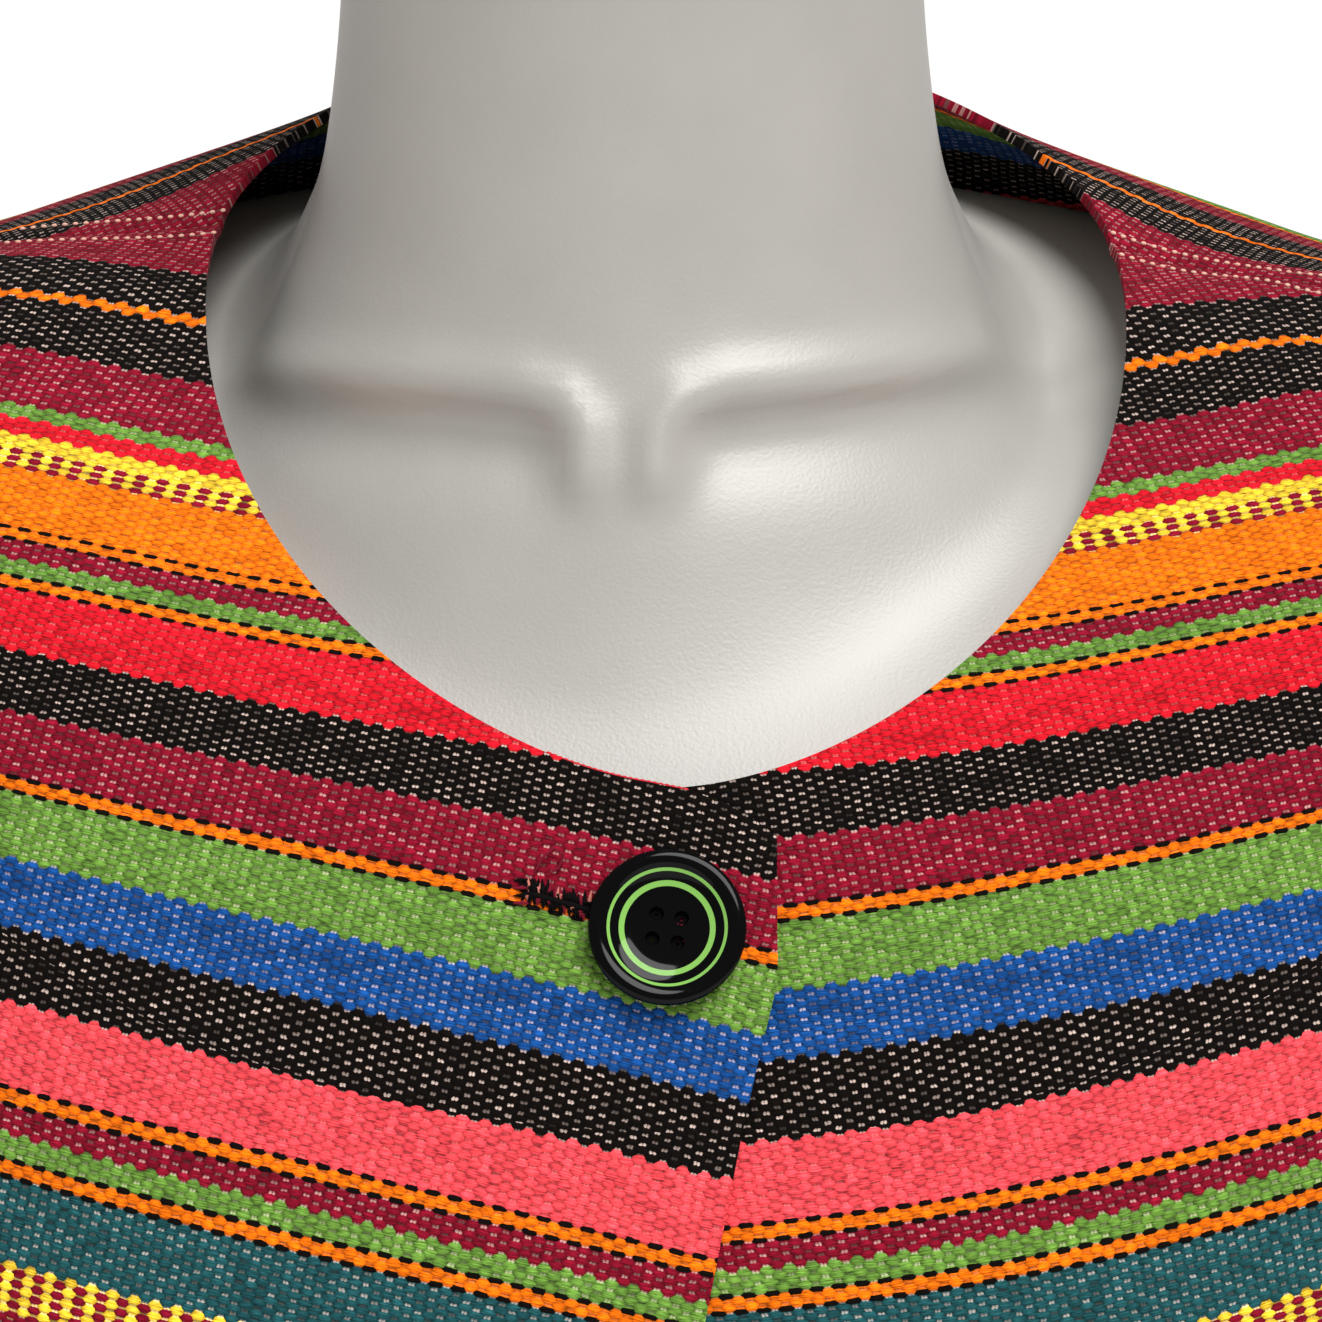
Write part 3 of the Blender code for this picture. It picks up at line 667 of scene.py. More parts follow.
def sleeve_ring(side, place):
    """One oval section of the sleeve, from its outer point forwards."""
    row = read_row(SLEEVE_SECTIONS, SLEEVE_COLUMNS, place)
    under = Vector((row["under_x"], 0.0, row["under_z"]))
    over = Vector((row["over_x"], 0.0, row["over_z"]))
    middle, reach = (under + over) / 2, (over - under) / 2
    ring = []
    for step in range(2 * ARMHOLE_CELLS):
        angle = pi * step / ARMHOLE_CELLS
        offset = reach * rounded(cos(angle), SLEEVE_SQUARE)
        offset.y = -row["half_depth"] * rounded(sin(angle), SLEEVE_SQUARE)
        fade = smooth_step(place, FOLDS_START, FOLDS_FULL)
        lift = fade * sleeve_fold(middle.z + offset.z, angle, side)
        point = middle + offset + offset.normalized() * lift
        ring.append(Vector((side * point.x + JACKET_SHIFT, point.y, point.z - side * SKEW_DROP)))
    return ring


def sleeve_net(side):
    """One sleeve, each row closed on itself at the seam under the arm."""
    last = len(SLEEVE_SECTIONS) - 1
    rings = [armhole_ring(side, SLEEVE_GAP), armhole_ring(side, SLEEVE_HEAD)]
    rings += [sleeve_ring(side, last * cell / SLEEVE_CELLS) for cell in range(SLEEVE_CELLS + 1)]
    seam = ARMHOLE_CELLS
    return [ring[seam:] + ring[:seam + 1] for ring in rings]


sleeve_nets = {"sleeve_right_cloth": sleeve_net(-1), "sleeve_left_cloth": sleeve_net(1)}
print("rows of a sleeve:", len(sleeve_nets["sleeve_left_cloth"]))

# %% [markdown]
# The sleeves' flat pieces need no strings. The chart starts at a length up from the cuff that puts
# the stripes of both sleeves level.

# %% The threads of the sleeves
SLEEVE_LINE_HEIGHT = 0.415


def sleeve_threads(net):
    """Thread numbers of a sleeve, from lengths along it and round it."""
    points = as_array(net)
    round_steps = np.linalg.norm(np.diff(points, axis=1), axis=2)
    across = np.concatenate([np.zeros((len(points), 1)), np.cumsum(round_steps, axis=1)], axis=1)
    across -= across[:, -1:] / 2
    down_steps = np.linalg.norm(np.diff(points, axis=0), axis=2)
    from_cuff = np.cumsum(down_steps[::-1], axis=0)[::-1]
    from_cuff = np.concatenate([from_cuff, np.zeros((1, from_cuff.shape[1]))])
    return as_threads(across, FRONT_LINE + SLEEVE_LINE_HEIGHT - from_cuff)


cuff_yarns = [int(sleeve_threads(net)[-1, 0, 1]) for net in sleeve_nets.values()]
print("yarn at each cuff:", cuff_yarns)

# %% [markdown]
# A net becomes a mesh by bending a flat grid onto it. The grid comes from one operator with its
# faces already in order, and each point is then moved to its place. The thread numbers go into a UV
# map, so the weave follows the cloth wherever it bends. Solidify gives the cloth its thickness to
# both sides, and a small bevel rounds the cut edges the way a turned hem is round.

# %% Meshes from nets
EDGE_ROUNDING = 0.0007
EDGE_SEGMENTS = 2
SHARP_EDGE = radians(50)
WELD = 0.00001


def bend_grid(work, net, threads=None):
    """Add a grid to a mesh and bend it onto a net. The thread numbers of its points become a UV map."""
    columns = len(net[0])
    verts = bmesh.ops.create_grid(work, x_segments=columns - 1, y_segments=len(net) - 1,
                                  size=1)["verts"]
    places = {}
    for number, vert in enumerate(verts):
        places[vert] = divmod(number, columns)
        vert.co = net[places[vert][0]][places[vert][1]]
    if threads is not None:
        layer = work.loops.layers.uv.new("threads")
        for face in work.faces:
            for loop in face.loops:
                loop[layer].uv = threads[places[loop.vert]]
    bmesh.ops.remove_doubles(work, verts=verts, dist=WELD)


def add_piece(name, work, material):
    """Make an object at the origin from a bmesh, shaded smooth except at sharp edges."""
    mesh = bpy.data.meshes.new(name)
    work.to_mesh(mesh)
    work.free()
    mesh.shade_smooth()
    mesh.set_sharp_from_angle(angle=SHARP_EDGE)
    mesh.materials.append(material)
    piece = bpy.data.objects.new(name, mesh)
    bpy.context.scene.collection.objects.link(piece)
    return piece


def cloth_piece(name, net, threads, inside, material):
    """A piece of cloth with a wall and rounded edges. inside is a point on its hidden side."""
    work = bmesh.new()
    bend_grid(work, net, threads)
    work.normal_update()
    if sum(face.normal.dot(face.calc_center_median() - inside) for face in work.faces) < 0:
        bmesh.ops.reverse_faces(work, faces=work.faces)
    piece = add_piece(name, work, material)
    wall = piece.modifiers.new("wall", "SOLIDIFY")
    wall.thickness = WALL
    wall.offset = 0.0
    edge = piece.modifiers.new("turned_edge", "BEVEL")
    edge.width = EDGE_ROUNDING
    edge.segments = EDGE_SEGMENTS
    edge.limit_method = "ANGLE"
    edge.angle_limit = SHARP_EDGE
    return piece


print("cloth is", WALL, "m thick and its edges are rounded by", EDGE_ROUNDING, "m")

# %% [markdown]
# The material is plain-woven cotton. Its yarns are thick and soft, so light scatters at every
# crossing: the surface is matt, with a faint sheen at grazing angles from loose fibres. A photograph
# of cloth could be wrapped round the pieces, but it would blur close up and its repeat would show.
# So the weave is worked out from numbers, with nodes.
#
# Dyes are easy to pick as sRGB hex values, and a shader needs them linear, so one function turns
# them. Another adds a node with its settings and links.

# %% Dyes and the helper for nodes
DYES = {"maroon": "#860E26", "black": "#0B0604", "thin_black": "#0B0604", "orange": "#FF760A",
        "green": "#668F38", "red": "#E01828", "yellow": "#FFD036", "blue": "#13488A",
        "coral": "#FF4D56", "teal": "#1E5054", "check": "#FFD036"}
CROSS_YARN = "#EFD5C8"


def linear(swatch, alpha=1.0):
    """Turn an sRGB hex colour into the linear colour that a shader needs."""
    shares = [int(swatch[start:start + 2], 16) / 255 for start in (1, 3, 5)]
    return tuple(share / 12.92 if share <= 0.04045 else ((share + 0.055) / 1.055) ** 2.4
                 for share in shares) + (alpha,)


def add_node(tree, kind, inputs=(), **settings):
    """Add one node with its settings, and fill its inputs, which are given in order or by name."""
    node = tree.nodes.new("ShaderNode" + kind)
    for name, value in settings.items():
        setattr(node, name, value)
    named = inputs if isinstance(inputs, dict) else dict(enumerate(inputs))
    for key, value in named.items():
        shown = [socket for socket in node.inputs if socket.enabled]
        socket = shown[key] if isinstance(key, int) else next(
            socket for socket in shown if socket.name == key)
        if isinstance(value, bpy.types.Node):
            value = next(output for output in value.outputs if output.enabled)
        if isinstance(value, bpy.types.NodeSocket):
            tree.links.new(value, socket)
        else:
            socket.default_value = value
    return node


def new_material(name, **finish):
    """A material with its finish set on the shader's own sockets."""
    material = bpy.data.materials.new(name)
    material.use_nodes = True
    shader = material.node_tree.nodes["Principled BSDF"]
    for socket, value in finish.items():
        shader.inputs[socket.replace("_", " ")].default_value = value
    return material, material.node_tree, shader


print("cross yarn in linear light:", [round(value, 3) for value in linear(CROSS_YARN)])

# %% [markdown]
# Next the chart becomes nodes. A colour ramp holds at most 32 colours, so the chart takes two. The
# renderer reads a ramp in 256 steps, so each stop sits almost a whole yarn early, just after the
# yarn before it. A ramp also carries transparency, which is of no use here, so it holds a second
# number: how clearly the pale dashes show on that dye. A mark of 0 stands for the checked bands,
# where yellow yarns and maroon ones take turns.

# %% The chart as colour ramps
DASH_MARKS = {"maroon": 0.60, "black": 1.00, "thin_black": 0.90, "orange": 0.08, "green": 0.50,
              "red": 0.22, "yellow": 0.10, "blue": 0.66, "coral": 0.15, "teal": 0.62, "check": 0.0}
STOP_BEFORE = 0.97
CHECK_BELOW = 0.05
CHECK_DASH = 0.70


def fill_ramp(ramp, chart):
    """Put a stretch of the chart on a colour ramp, with one stop for each stripe."""
    ramp.interpolation = "CONSTANT"
    ramp.elements.remove(ramp.elements[1])
    total = sum(count for _, _, count in chart)
    passed = chart[0][2]
    ramp.elements[0].color = linear(DYES[chart[0][0]], DASH_MARKS[chart[0][0]])
    for dye, _, count in chart[1:]:
        stop = ramp.elements.new((passed - STOP_BEFORE) / total)
        stop.color = linear(DYES[dye], DASH_MARKS[dye])
        passed += count


def stripe_dye(tree, row, core):
    """The dye of a stripe yarn by its number, and how clearly the dashes show there.

    In the checked bands the core of every second yarn's bead is maroon."""
    in_chart = add_node(tree, "Math", (row, float(CHART_TOTAL)), operation="MODULO")
    share = add_node(tree, "Math", (in_chart, float(UPPER_YARNS)), operation="DIVIDE")
    upper = add_node(tree, "ValToRGB", (share,))
    fill_ramp(upper.color_ramp, UPPER_CHART)
    past = add_node(tree, "Math", (in_chart, float(UPPER_YARNS)), operation="SUBTRACT")
    share = add_node(tree, "Math", (past, float(CHART_TOTAL - UPPER_YARNS)), operation="DIVIDE")
    lower = add_node(tree, "ValToRGB", (share,))
    fill_ramp(lower.color_ramp, LOWER_CHART)
    is_lower = add_node(tree, "Math", (past, -0.5), operation="GREATER_THAN")
    dye = add_node(tree, "Mix", {"Factor": is_lower, "A": upper.outputs["Color"],
                                 "B": lower.outputs["Color"]}, data_type="RGBA")
    mark = add_node(tree, "Mix", {"Factor": is_lower, "A": upper.outputs["Alpha"],
                                  "B": lower.outputs["Alpha"]}, data_type="FLOAT")
    band = add_node(tree, "Math", (mark, CHECK_BELOW), operation="LESS_THAN")
    odd = add_node(tree, "Math", (row, 2.0), operation="MODULO")
    checked = add_node(tree, "Math", (band, odd), operation="MULTIPLY")
    checked = add_node(tree, "Math", (checked, core), operation="MULTIPLY")
    dye = add_node(tree, "Mix", {"Factor": checked, "A": dye, "B": linear(DYES["maroon"])},
                   data_type="RGBA")
    return dye, add_node(tree, "Math", (band, CHECK_DASH, mark), operation="MULTIPLY_ADD")


print("stripes on the two ramps:", len(UPPER_CHART), "and", len(LOWER_CHART))

# %% [markdown]
# In this cloth the stripe yarns are packed so tightly that they almost hide the cross yarns. Where
# one passes over, it shows as a plump bead. Beads sit on every second column and every second row,
# and again one step on, so they lock together like a honeycomb. A brick texture would make rows too,
# but its cells have straight sides. So the nodes look for the nearest bead middle, and how far a
# point is from it gives the bead's height.

# %% The nearest bead
BEAD_CELL = (1.0, 0.66, 0.0)
BEAD_STEPS = ((0.0, 0.0, 0.0), (1.0, 1.0, 0.0))
EVERY_SECOND, HALF_STEP = (2.0, 2.0, 0.0), (0.5, 0.5, 0.0)


def nearest_bead(tree, point):
    """The middle of the bead nearest to a point."""
    found = []
    for step in BEAD_STEPS:
        moved = add_node(tree, "VectorMath", (point, step), operation="SUBTRACT")
        half = add_node(tree, "VectorMath", (moved, HALF_STEP, HALF_STEP),
                        operation="MULTIPLY_ADD")
        whole = add_node(tree, "VectorMath", (half,), operation="FLOOR")
        middle = add_node(tree, "VectorMath", (whole, EVERY_SECOND, step),
                          operation="MULTIPLY_ADD")
        away = add_node(tree, "VectorMath", (point, middle), operation="SUBTRACT")
        away = add_node(tree, "VectorMath", (away, BEAD_CELL), operation="MULTIPLY")
        found.append((middle, add_node(tree, "VectorMath", (away,), operation="LENGTH")))
    nearer = add_node(tree, "Math", (found[1][1], found[0][1]), operation="LESS_THAN")
    return add_node(tree, "Mix", {"Factor": nearer, "A": found[0][0], "B": found[1][0]},
                    data_type="VECTOR")


def oval_fall(tree, across, above, half_width, half_height):
    """How far out of an oval a point lies: 0 in its middle and 1 on its edge."""
    squares = []
    for value, reach in ((across, half_width), (above, half_height)):
        share = add_node(tree, "Math", (value, reach), operation="DIVIDE")
        share = add_node(tree, "Math", (share,), operation="ABSOLUTE")
        squares.append(add_node(tree, "Math", (share, 2.0), operation="POWER"))
    return add_node(tree, "Math", squares, operation="ADD")


print("bead middles sit on", len(BEAD_STEPS), "lattices")

# %% [markdown]
# In the UV map one unit is one yarn each way. Two soft noises shift every point a little first, one
# slow as the yarns wander and one fine as the fibres stick out. Then each point finds its bead. The
# core of a bead is kept too, for the checked bands.

# %% Beads of yarn
YARN_WANDER, YARN_WANDER_SCALE = (0.60, 0.50, 0.0), 0.12
FIBRE_WANDER, FIBRE_WANDER_SCALE = (0.40, 0.60, 0.0), 1.3
NOISE_MIDDLE = (0.5, 0.5, 0.5)
BEAD_HALF_WIDTH, BEAD_HALF_HEIGHT = 0.80, 1.20
BEAD_ROUNDNESS = 0.6
CHECK_HALF_WIDTH, CHECK_HALF_HEIGHT = 0.78, 0.84

# Handwoven cotton: rough and matt, with hardly any shine, and a thin sheen from loose fibres.
cotton, tree, cotton_shader = new_material("handwoven_cotton", Roughness=0.90, Sheen_Weight=0.03,
                                           Sheen_Roughness=0.4, Specular_IOR_Level=0.10)
straight = add_node(tree, "UVMap", uv_map="threads")
point = straight
for scale, detail, reach in ((YARN_WANDER_SCALE, 2.0, YARN_WANDER),
                             (FIBRE_WANDER_SCALE, 3.0, FIBRE_WANDER)):
    noise = add_node(tree, "TexNoise", {"Vector": straight, "Scale": scale, "Detail": detail})
    shift = add_node(tree, "VectorMath", (noise.outputs["Color"], NOISE_MIDDLE),
                     operation="SUBTRACT")
    point = add_node(tree, "VectorMath", (shift, reach, point), operation="MULTIPLY_ADD")

bead = nearest_bead(tree, point)
offset = add_node(tree, "VectorMath", (point, bead), operation="SUBTRACT")
offset = add_node(tree, "SeparateXYZ", (offset,))
beside_bead, above_bead = offset.outputs["X"], offset.outputs["Y"]
fall = oval_fall(tree, beside_bead, above_bead, BEAD_HALF_WIDTH, BEAD_HALF_HEIGHT)
height = add_node(tree, "Math", (1.0, fall), operation="SUBTRACT", use_clamp=True)
height = add_node(tree, "Math", (height, BEAD_ROUNDNESS), operation="POWER")
core = oval_fall(tree, beside_bead, above_bead, CHECK_HALF_WIDTH, CHECK_HALF_HEIGHT)
core = add_node(tree, "Math", (core, 1.0), operation="LESS_THAN")
row = add_node(tree, "SeparateXYZ", (bead,)).outputs["Y"]
bead_chance = add_node(tree, "TexWhiteNoise", {"Vector": bead}, noise_dimensions="2D")
row_chance = add_node(tree, "TexWhiteNoise", {"W": row}, noise_dimensions="1D")
print("nodes for the beads:", len(tree.nodes))

# %% [markdown]
# Between two beads of a row the pale cross yarn comes up. It is two strands laid side by side, so
# each place shows two short pale dots. Their middles lie half a step from the beads, so the same
# search finds them once the point is moved one row up.
#
# The fine lines of single black yarns are special. A black yarn there is pressed thin by its
# neighbours, so the part of its bead that is far from the middle takes the dye of the yarn two rows
# above or below.

# %% Dashes and dyes
DASH_SHIFT = (0.0, 1.0, 0.0)
STRAND_APART, STRAND_HALF = 0.15, 0.17
DASH_HALF_HEIGHT = 0.36
DASH_EDGE, DASH_MIDDLE = 1.10, 0.30
THIN_HALF, THIN_MARGIN = 0.55, 0.02
ROWS_TO_NEXT_BEAD = 2.0

beside = add_node(tree, "VectorMath", (point, DASH_SHIFT), operation="ADD")
spot = nearest_bead(tree, beside)
offset = add_node(tree, "VectorMath", (beside, spot), operation="SUBTRACT")
offset = add_node(tree, "SeparateXYZ", (offset,))
strand = add_node(tree, "Math", (offset.outputs["X"],), operation="ABSOLUTE")
strand = add_node(tree, "Math", (strand, STRAND_APART), operation="SUBTRACT")
fall = oval_fall(tree, strand, offset.outputs["Y"], STRAND_HALF, DASH_HALF_HEIGHT)
dash = add_node(tree, "MapRange", {"Value": fall, "From Min": DASH_EDGE, "From Max": DASH_MIDDLE},
                interpolation_type="SMOOTHSTEP")
dash_chance = add_node(tree, "TexWhiteNoise", {"Vector": spot}, noise_dimensions="2D")

dye, mark = stripe_dye(tree, row, core)
is_thin = add_node(tree, "Math", (mark, DASH_MARKS["thin_black"], THIN_MARGIN),
                   operation="COMPARE")
step = add_node(tree, "Math", (above_bead, THIN_HALF), operation="DIVIDE")
step = add_node(tree, "Math", (step,), operation="TRUNC")
step = add_node(tree, "Math", (step, ROWS_TO_NEXT_BEAD), operation="MULTIPLY")
step = add_node(tree, "Math", (step, is_thin), operation="MULTIPLY")
seen_row = add_node(tree, "Math", (row, step), operation="ADD")
dye, mark = stripe_dye(tree, seen_row, core)
print("nodes with the dashes and dyes:", len(tree.nodes))

# %% [markdown]
# Hand-dyed yarn is never even. Each bead and each row gets its own depth of colour, and fine fibres
# make it lighter and darker. Shade is also painted into the colour: painted shade, darkest in the gap
# between beads where the light hardly reaches, and a painted highlight on the tops of the beads.
# The cross yarn gets a painted tint of the light that the dye beside it throws: painted bounce light.
# The same heights drive the bump, because the relief of a weave is too fine for the mesh: 0.7 mm at
# most.

# %% Colour with painted shade, and relief of the cotton
FIBRE_STRETCH = (0.9, 3.8, 1.0)
# Painted shade in the gaps between beads and a painted highlight on their tops, set by the bead's
# height.
PAINTED_GAP_SHADE, PAINTED_TOP_HIGHLIGHT = 0.10, 1.22
FUZZ = {"From Min": 0.30, "From Max": 0.70, "To Min": 0.40, "To Max": 1.60}
LEAST_DYE, BEAD_UNEVEN, ROW_UNEVEN = 0.72, 0.40, 0.20
# Painted bounce light: how much of the dye's light is painted onto the cross yarn, and how bright it
# is.
PAINTED_BOUNCE_SHARE, PAINTED_BOUNCE_GAIN = 0.35, 2.6
DULL_DASH, BRIGHT_DASH = 0.05, 1.35
DASH_RELIEF, FIBRE_RELIEF = 0.55, 0.30
WEAVE_RELIEF = 0.0007

stretched = add_node(tree, "VectorMath", (straight, FIBRE_STRETCH), operation="MULTIPLY")
fibre = add_node(tree, "TexNoise", {"Vector": stretched, "Scale": 1.0, "Detail": 3.0})
# Painted shade and highlight from the bead's height, times the real unevenness of fibres and dye.
tone = add_node(tree, "MapRange", {"Value": height, "To Min": PAINTED_GAP_SHADE, "To Max": PAINTED_TOP_HIGHLIGHT})
fuzz = add_node(tree, "MapRange", {"Value": fibre, **FUZZ})
tone = add_node(tree, "Math", (tone, fuzz), operation="MULTIPLY")
uneven = add_node(tree, "Math", (bead_chance, BEAD_UNEVEN, LEAST_DYE), operation="MULTIPLY_ADD")
uneven = add_node(tree, "Math", (row_chance, ROW_UNEVEN, uneven), operation="MULTIPLY_ADD")
tone = add_node(tree, "Math", (tone, uneven), operation="MULTIPLY")
yarn = add_node(tree, "VectorMath", {0: dye, "Scale": tone}, operation="SCALE")

# Painted bounce light from the dye beside it, mixed into the pale cross yarn.
painted_bounce = add_node(tree, "VectorMath", {0: dye, "Scale": PAINTED_BOUNCE_GAIN}, operation="SCALE")
cross = add_node(tree, "Mix", {"Factor": PAINTED_BOUNCE_SHARE, "A": linear(CROSS_YARN), "B": painted_bounce},
                 data_type="RGBA")
glint = add_node(tree, "MapRange", {"Value": dash_chance, "To Min": DULL_DASH,
                                    "To Max": BRIGHT_DASH})
cross = add_node(tree, "VectorMath", {0: cross, "Scale": glint}, operation="SCALE")
share = add_node(tree, "Math", (dash, mark), operation="MULTIPLY")
color = add_node(tree, "Mix", {"Factor": share, "A": yarn, "B": cross}, data_type="RGBA")
tree.links.new(color.outputs["Result"], cotton_shader.inputs["Base Color"])

relief = add_node(tree, "Math", (dash, DASH_RELIEF), operation="MULTIPLY")
relief = add_node(tree, "Math", (height, relief), operation="MAXIMUM")
relief = add_node(tree, "Math", (fibre, FIBRE_RELIEF, relief), operation="MULTIPLY_ADD")
bump = add_node(tree, "Bump", {"Height": relief, "Distance": WEAVE_RELIEF, "Strength": 1.0})
tree.links.new(bump.outputs["Normal"], cotton_shader.inputs["Normal"])
print("nodes of the whole cotton:", len(tree.nodes))

# %% [markdown]
# Now the five pieces of cloth are made from their nets. Each stands for a solid of the frame and
# covers it exactly, so nothing of the plain solid shows.

# %% The five pieces of cloth
INSIDE = Vector((JACKET_SHIFT, 0.0, 0.35))

pieces = {}
for name, net in body_nets.items():
    pieces[name] = cloth_piece(name, net, body_threads[name], INSIDE, cotton)
for name, net in sleeve_nets.items():
    middle = Vector(as_array(net).mean(axis=(0, 1)))
    pieces[name] = cloth_piece(name, net, sleeve_threads(net), middle, cotton)
for name, piece in pieces.items():
    print(name, len(piece.data.vertices), "points")

# %% [markdown]
# A jacket like this is sewn by hand. Pale stitches run beside both shoulder seams, a maroon row holds
# each hem, and along the neck edge of the right front a line of red yarns shows where the cloth is
# turned under. A stitch could be a tube bent through the cloth, but only its top ever shows. So each
# is a small stretched ball, set on the cloth and turned along the seam.

# %% Sewing thread and how it is laid
FIBRES_PER_METRE = 2500.0
THREAD_FIBRE = {"To Min": 0.60, "To Max": 1.40}
STITCH_RISE = 3
STITCH_SEGMENTS, STITCH_RINGS = 8, 6


def new_thread(name, swatch):
    """A cotton sewing thread: matt, with hardly any shine, and lighter and darker along its twist."""
    material, tree, shader = new_material(name, Roughness=0.85, Specular_IOR_Level=0.08)
    place = add_node(tree, "TexCoord").outputs["Object"]
    fibre = add_node(tree, "TexNoise", {"Vector": place, "Scale": FIBRES_PER_METRE, "Detail": 2.0})
    tone = add_node(tree, "MapRange", {"Value": fibre, **THREAD_FIBRE})
    color = add_node(tree, "VectorMath", {0: linear(swatch)[:3], "Scale": tone}, operation="SCALE")
    tree.links.new(color.outputs["Vector"], shader.inputs["Base Color"])
    return material


def net_path(net, cells, inside):
    """Points of a net with the direction out of the cloth at each."""
    path = []
    for row, column in cells:
        down = net[min(row + 1, len(net) - 1)][column] - net[max(row - 1, 0)][column]
        right = net[row][min(column + 1, len(net[0]) - 1)] - net[row][max(column - 1, 0)]
        normal = down.cross(right).normalized()
        point = net[row][column]
        path.append((point, normal if normal.dot(point - inside) > 0 else -normal))
    return path


def sew(work, path, pitch, half):
    """Lay stitches along a path. half is half the length, width and height of each."""
    left_over = 0.0
    for (start, normal), (stop, _) in zip(path, path[1:]):
        run = stop - start
        along = run.normalized()
        side = normal.cross(along).normalized()
        turn = Matrix((along, side, along.cross(side))).transposed().to_4x4()
        place = left_over
        while place < run.length:
            spot = start + along * place + normal * (WALL / 2 + half[2] / STITCH_RISE)
            bmesh.ops.create_uvsphere(
                work, u_segments=STITCH_SEGMENTS, v_segments=STITCH_RINGS, radius=1,
                matrix=Matrix.Translation(spot) @ turn @ Matrix.Diagonal((*half, 1.0)))
            place += pitch
        left_over = place - run.length


pale_thread = new_thread("pale_sewing_thread", "#EDB9A6")
maroon_thread = new_thread("maroon_sewing_thread", "#7C1B2E")
black_thread = new_thread("black_sewing_thread", "#0C0909")
pink_thread = new_thread("pink_sewing_thread", "#C4766A")
red_thread = new_thread("red_edge_yarn", "#D2303C")
print("threads:", [material.name for material in bpy.data.materials if "thread" in material.name])

# %% [markdown]
# One row of small pale stitches runs along each front's shoulder seam, and a shorter one on each
# side of the back, near the neck. The hems are held by longer maroon stitches, sewn from the
# inside, so only thin lines of them show. The red yarns are sunk a little into the neck edge.

# %% The rows of stitches
SEAM_PITCH, SEAM_STITCH = 0.00215, (0.00062, 0.00046, 0.00036)
HEM_PITCH, HEM_STITCH = 0.0042, (0.0015, 0.0003, 0.0003)
EDGE_PITCH, EDGE_STITCH = 0.0011, (0.0007, 0.0005, 0.0004)
EDGE_SINK = 0.0006
EDGE_COLUMNS = range(8, 21)
HEM_ROW_OF_STITCHES = 6
NECK_ROWS = 17

yoke = range(len(panel_places()) - YOKE_CELLS - 1, len(panel_places()))
SEAM_ROWS = (
    ("front_right_cloth", (-3,), yoke),
    ("front_left_cloth", (-3,), yoke),
    ("back_cloth", (2, -3), yoke[-NECK_ROWS:]),
)
work = bmesh.new()
for name, columns, rows in SEAM_ROWS:
    net = body_nets[name]
    for column in columns:
        cells = [(row, column % len(net[0])) for row in rows]
        sew(work, net_path(net, cells, INSIDE), SEAM_PITCH, SEAM_STITCH)
pieces["shoulder_stitches"] = add_piece("shoulder_stitches", work, pale_thread)

work = bmesh.new()
for name, net in body_nets.items():
    cells = [(HEM_ROW_OF_STITCHES, column) for column in range(len(net[0]))]
    sew(work, net_path(net, cells, INSIDE), HEM_PITCH, HEM_STITCH)
for net in sleeve_nets.values():
    row = len(net) - 1 - HEM_ROW_OF_STITCHES
    middle = Vector(as_array(net)[row].mean(axis=0))
    cells = [(row, column) for column in range(len(net[0]))]
    sew(work, net_path(net, cells, middle), HEM_PITCH, HEM_STITCH)
pieces["hem_stitches"] = add_piece("hem_stitches", work, maroon_thread)

work = bmesh.new()
net = body_nets["front_right_cloth"]
edge = net_path(net, [(len(net) - 1, column) for column in EDGE_COLUMNS], INSIDE)
sew(work, [(point - normal * EDGE_SINK, normal) for point, normal in edge], EDGE_PITCH,
    EDGE_STITCH)
pieces["neck_edge_yarn"] = add_piece("neck_edge_yarn", work, red_thread)
for name in ("shoulder_stitches", "hem_stitches", "neck_edge_yarn"):
    print(name, len(pieces[name].data.polygons), "faces")

# %% [markdown]
# The jacket stands on a dress form, a hollow moulding of grey plastic with a soft satin skin. It has
# a neck, shoulders and a trunk, and no limbs. Its surface comes from a table of sections, as the
# body's does, and two collarbones are raised on it. Each is a line from a shoulder to the
# pit of the neck, where it turns down. The skin rises over the line and sinks just below it, and
# both fade away towards the shoulders, where the cloth lies close.

# %% The shape of the dress form
FORM_CELLS, FORM_COLUMNS = 200, 192
COLLARBONES = (
    ((-0.130, 0.5750), (-0.090, 0.5750), (-0.060, 0.5770), (-0.035, 0.5780), (-0.0210, 0.5775),
     (-0.0130, 0.5750), (-0.0090, 0.5700), (-0.0090, 0.5630)),
    ((0.130, 0.5790), (0.095, 0.5790), (0.066, 0.5790), (0.038, 0.5785), (0.0180, 0.5775),
     (0.0095, 0.5750), (0.0050, 0.5700), (0.0045, 0.5630)),
)
BONE_HEIGHT, BONE_WIDTH = 0.0036, 0.0050
HOLLOW_DEPTH, HOLLOW_WIDTH, HOLLOW_BELOW = 0.0034, 0.0085, 0.010
HOLLOW_POINTS = 5
BONE_END, BONE_FADE, BONE_DEPTH_FADE = 0.110, 0.026, 0.018


def apart_from_line(point, line_points):
    """The distance in the x-z plane from a point to a line through some points."""
    away = 1.0
    spot = Vector((point.x, point.z))
    for start, stop in zip(line_points, line_points[1:]):
        start, run = Vector(start), Vector(stop) - Vector(start)
        share = min(max((spot - start).dot(run) / run.length_squared, 0.0), 1.0)
        away = min(away, (spot - start - run * share).length)
    return away


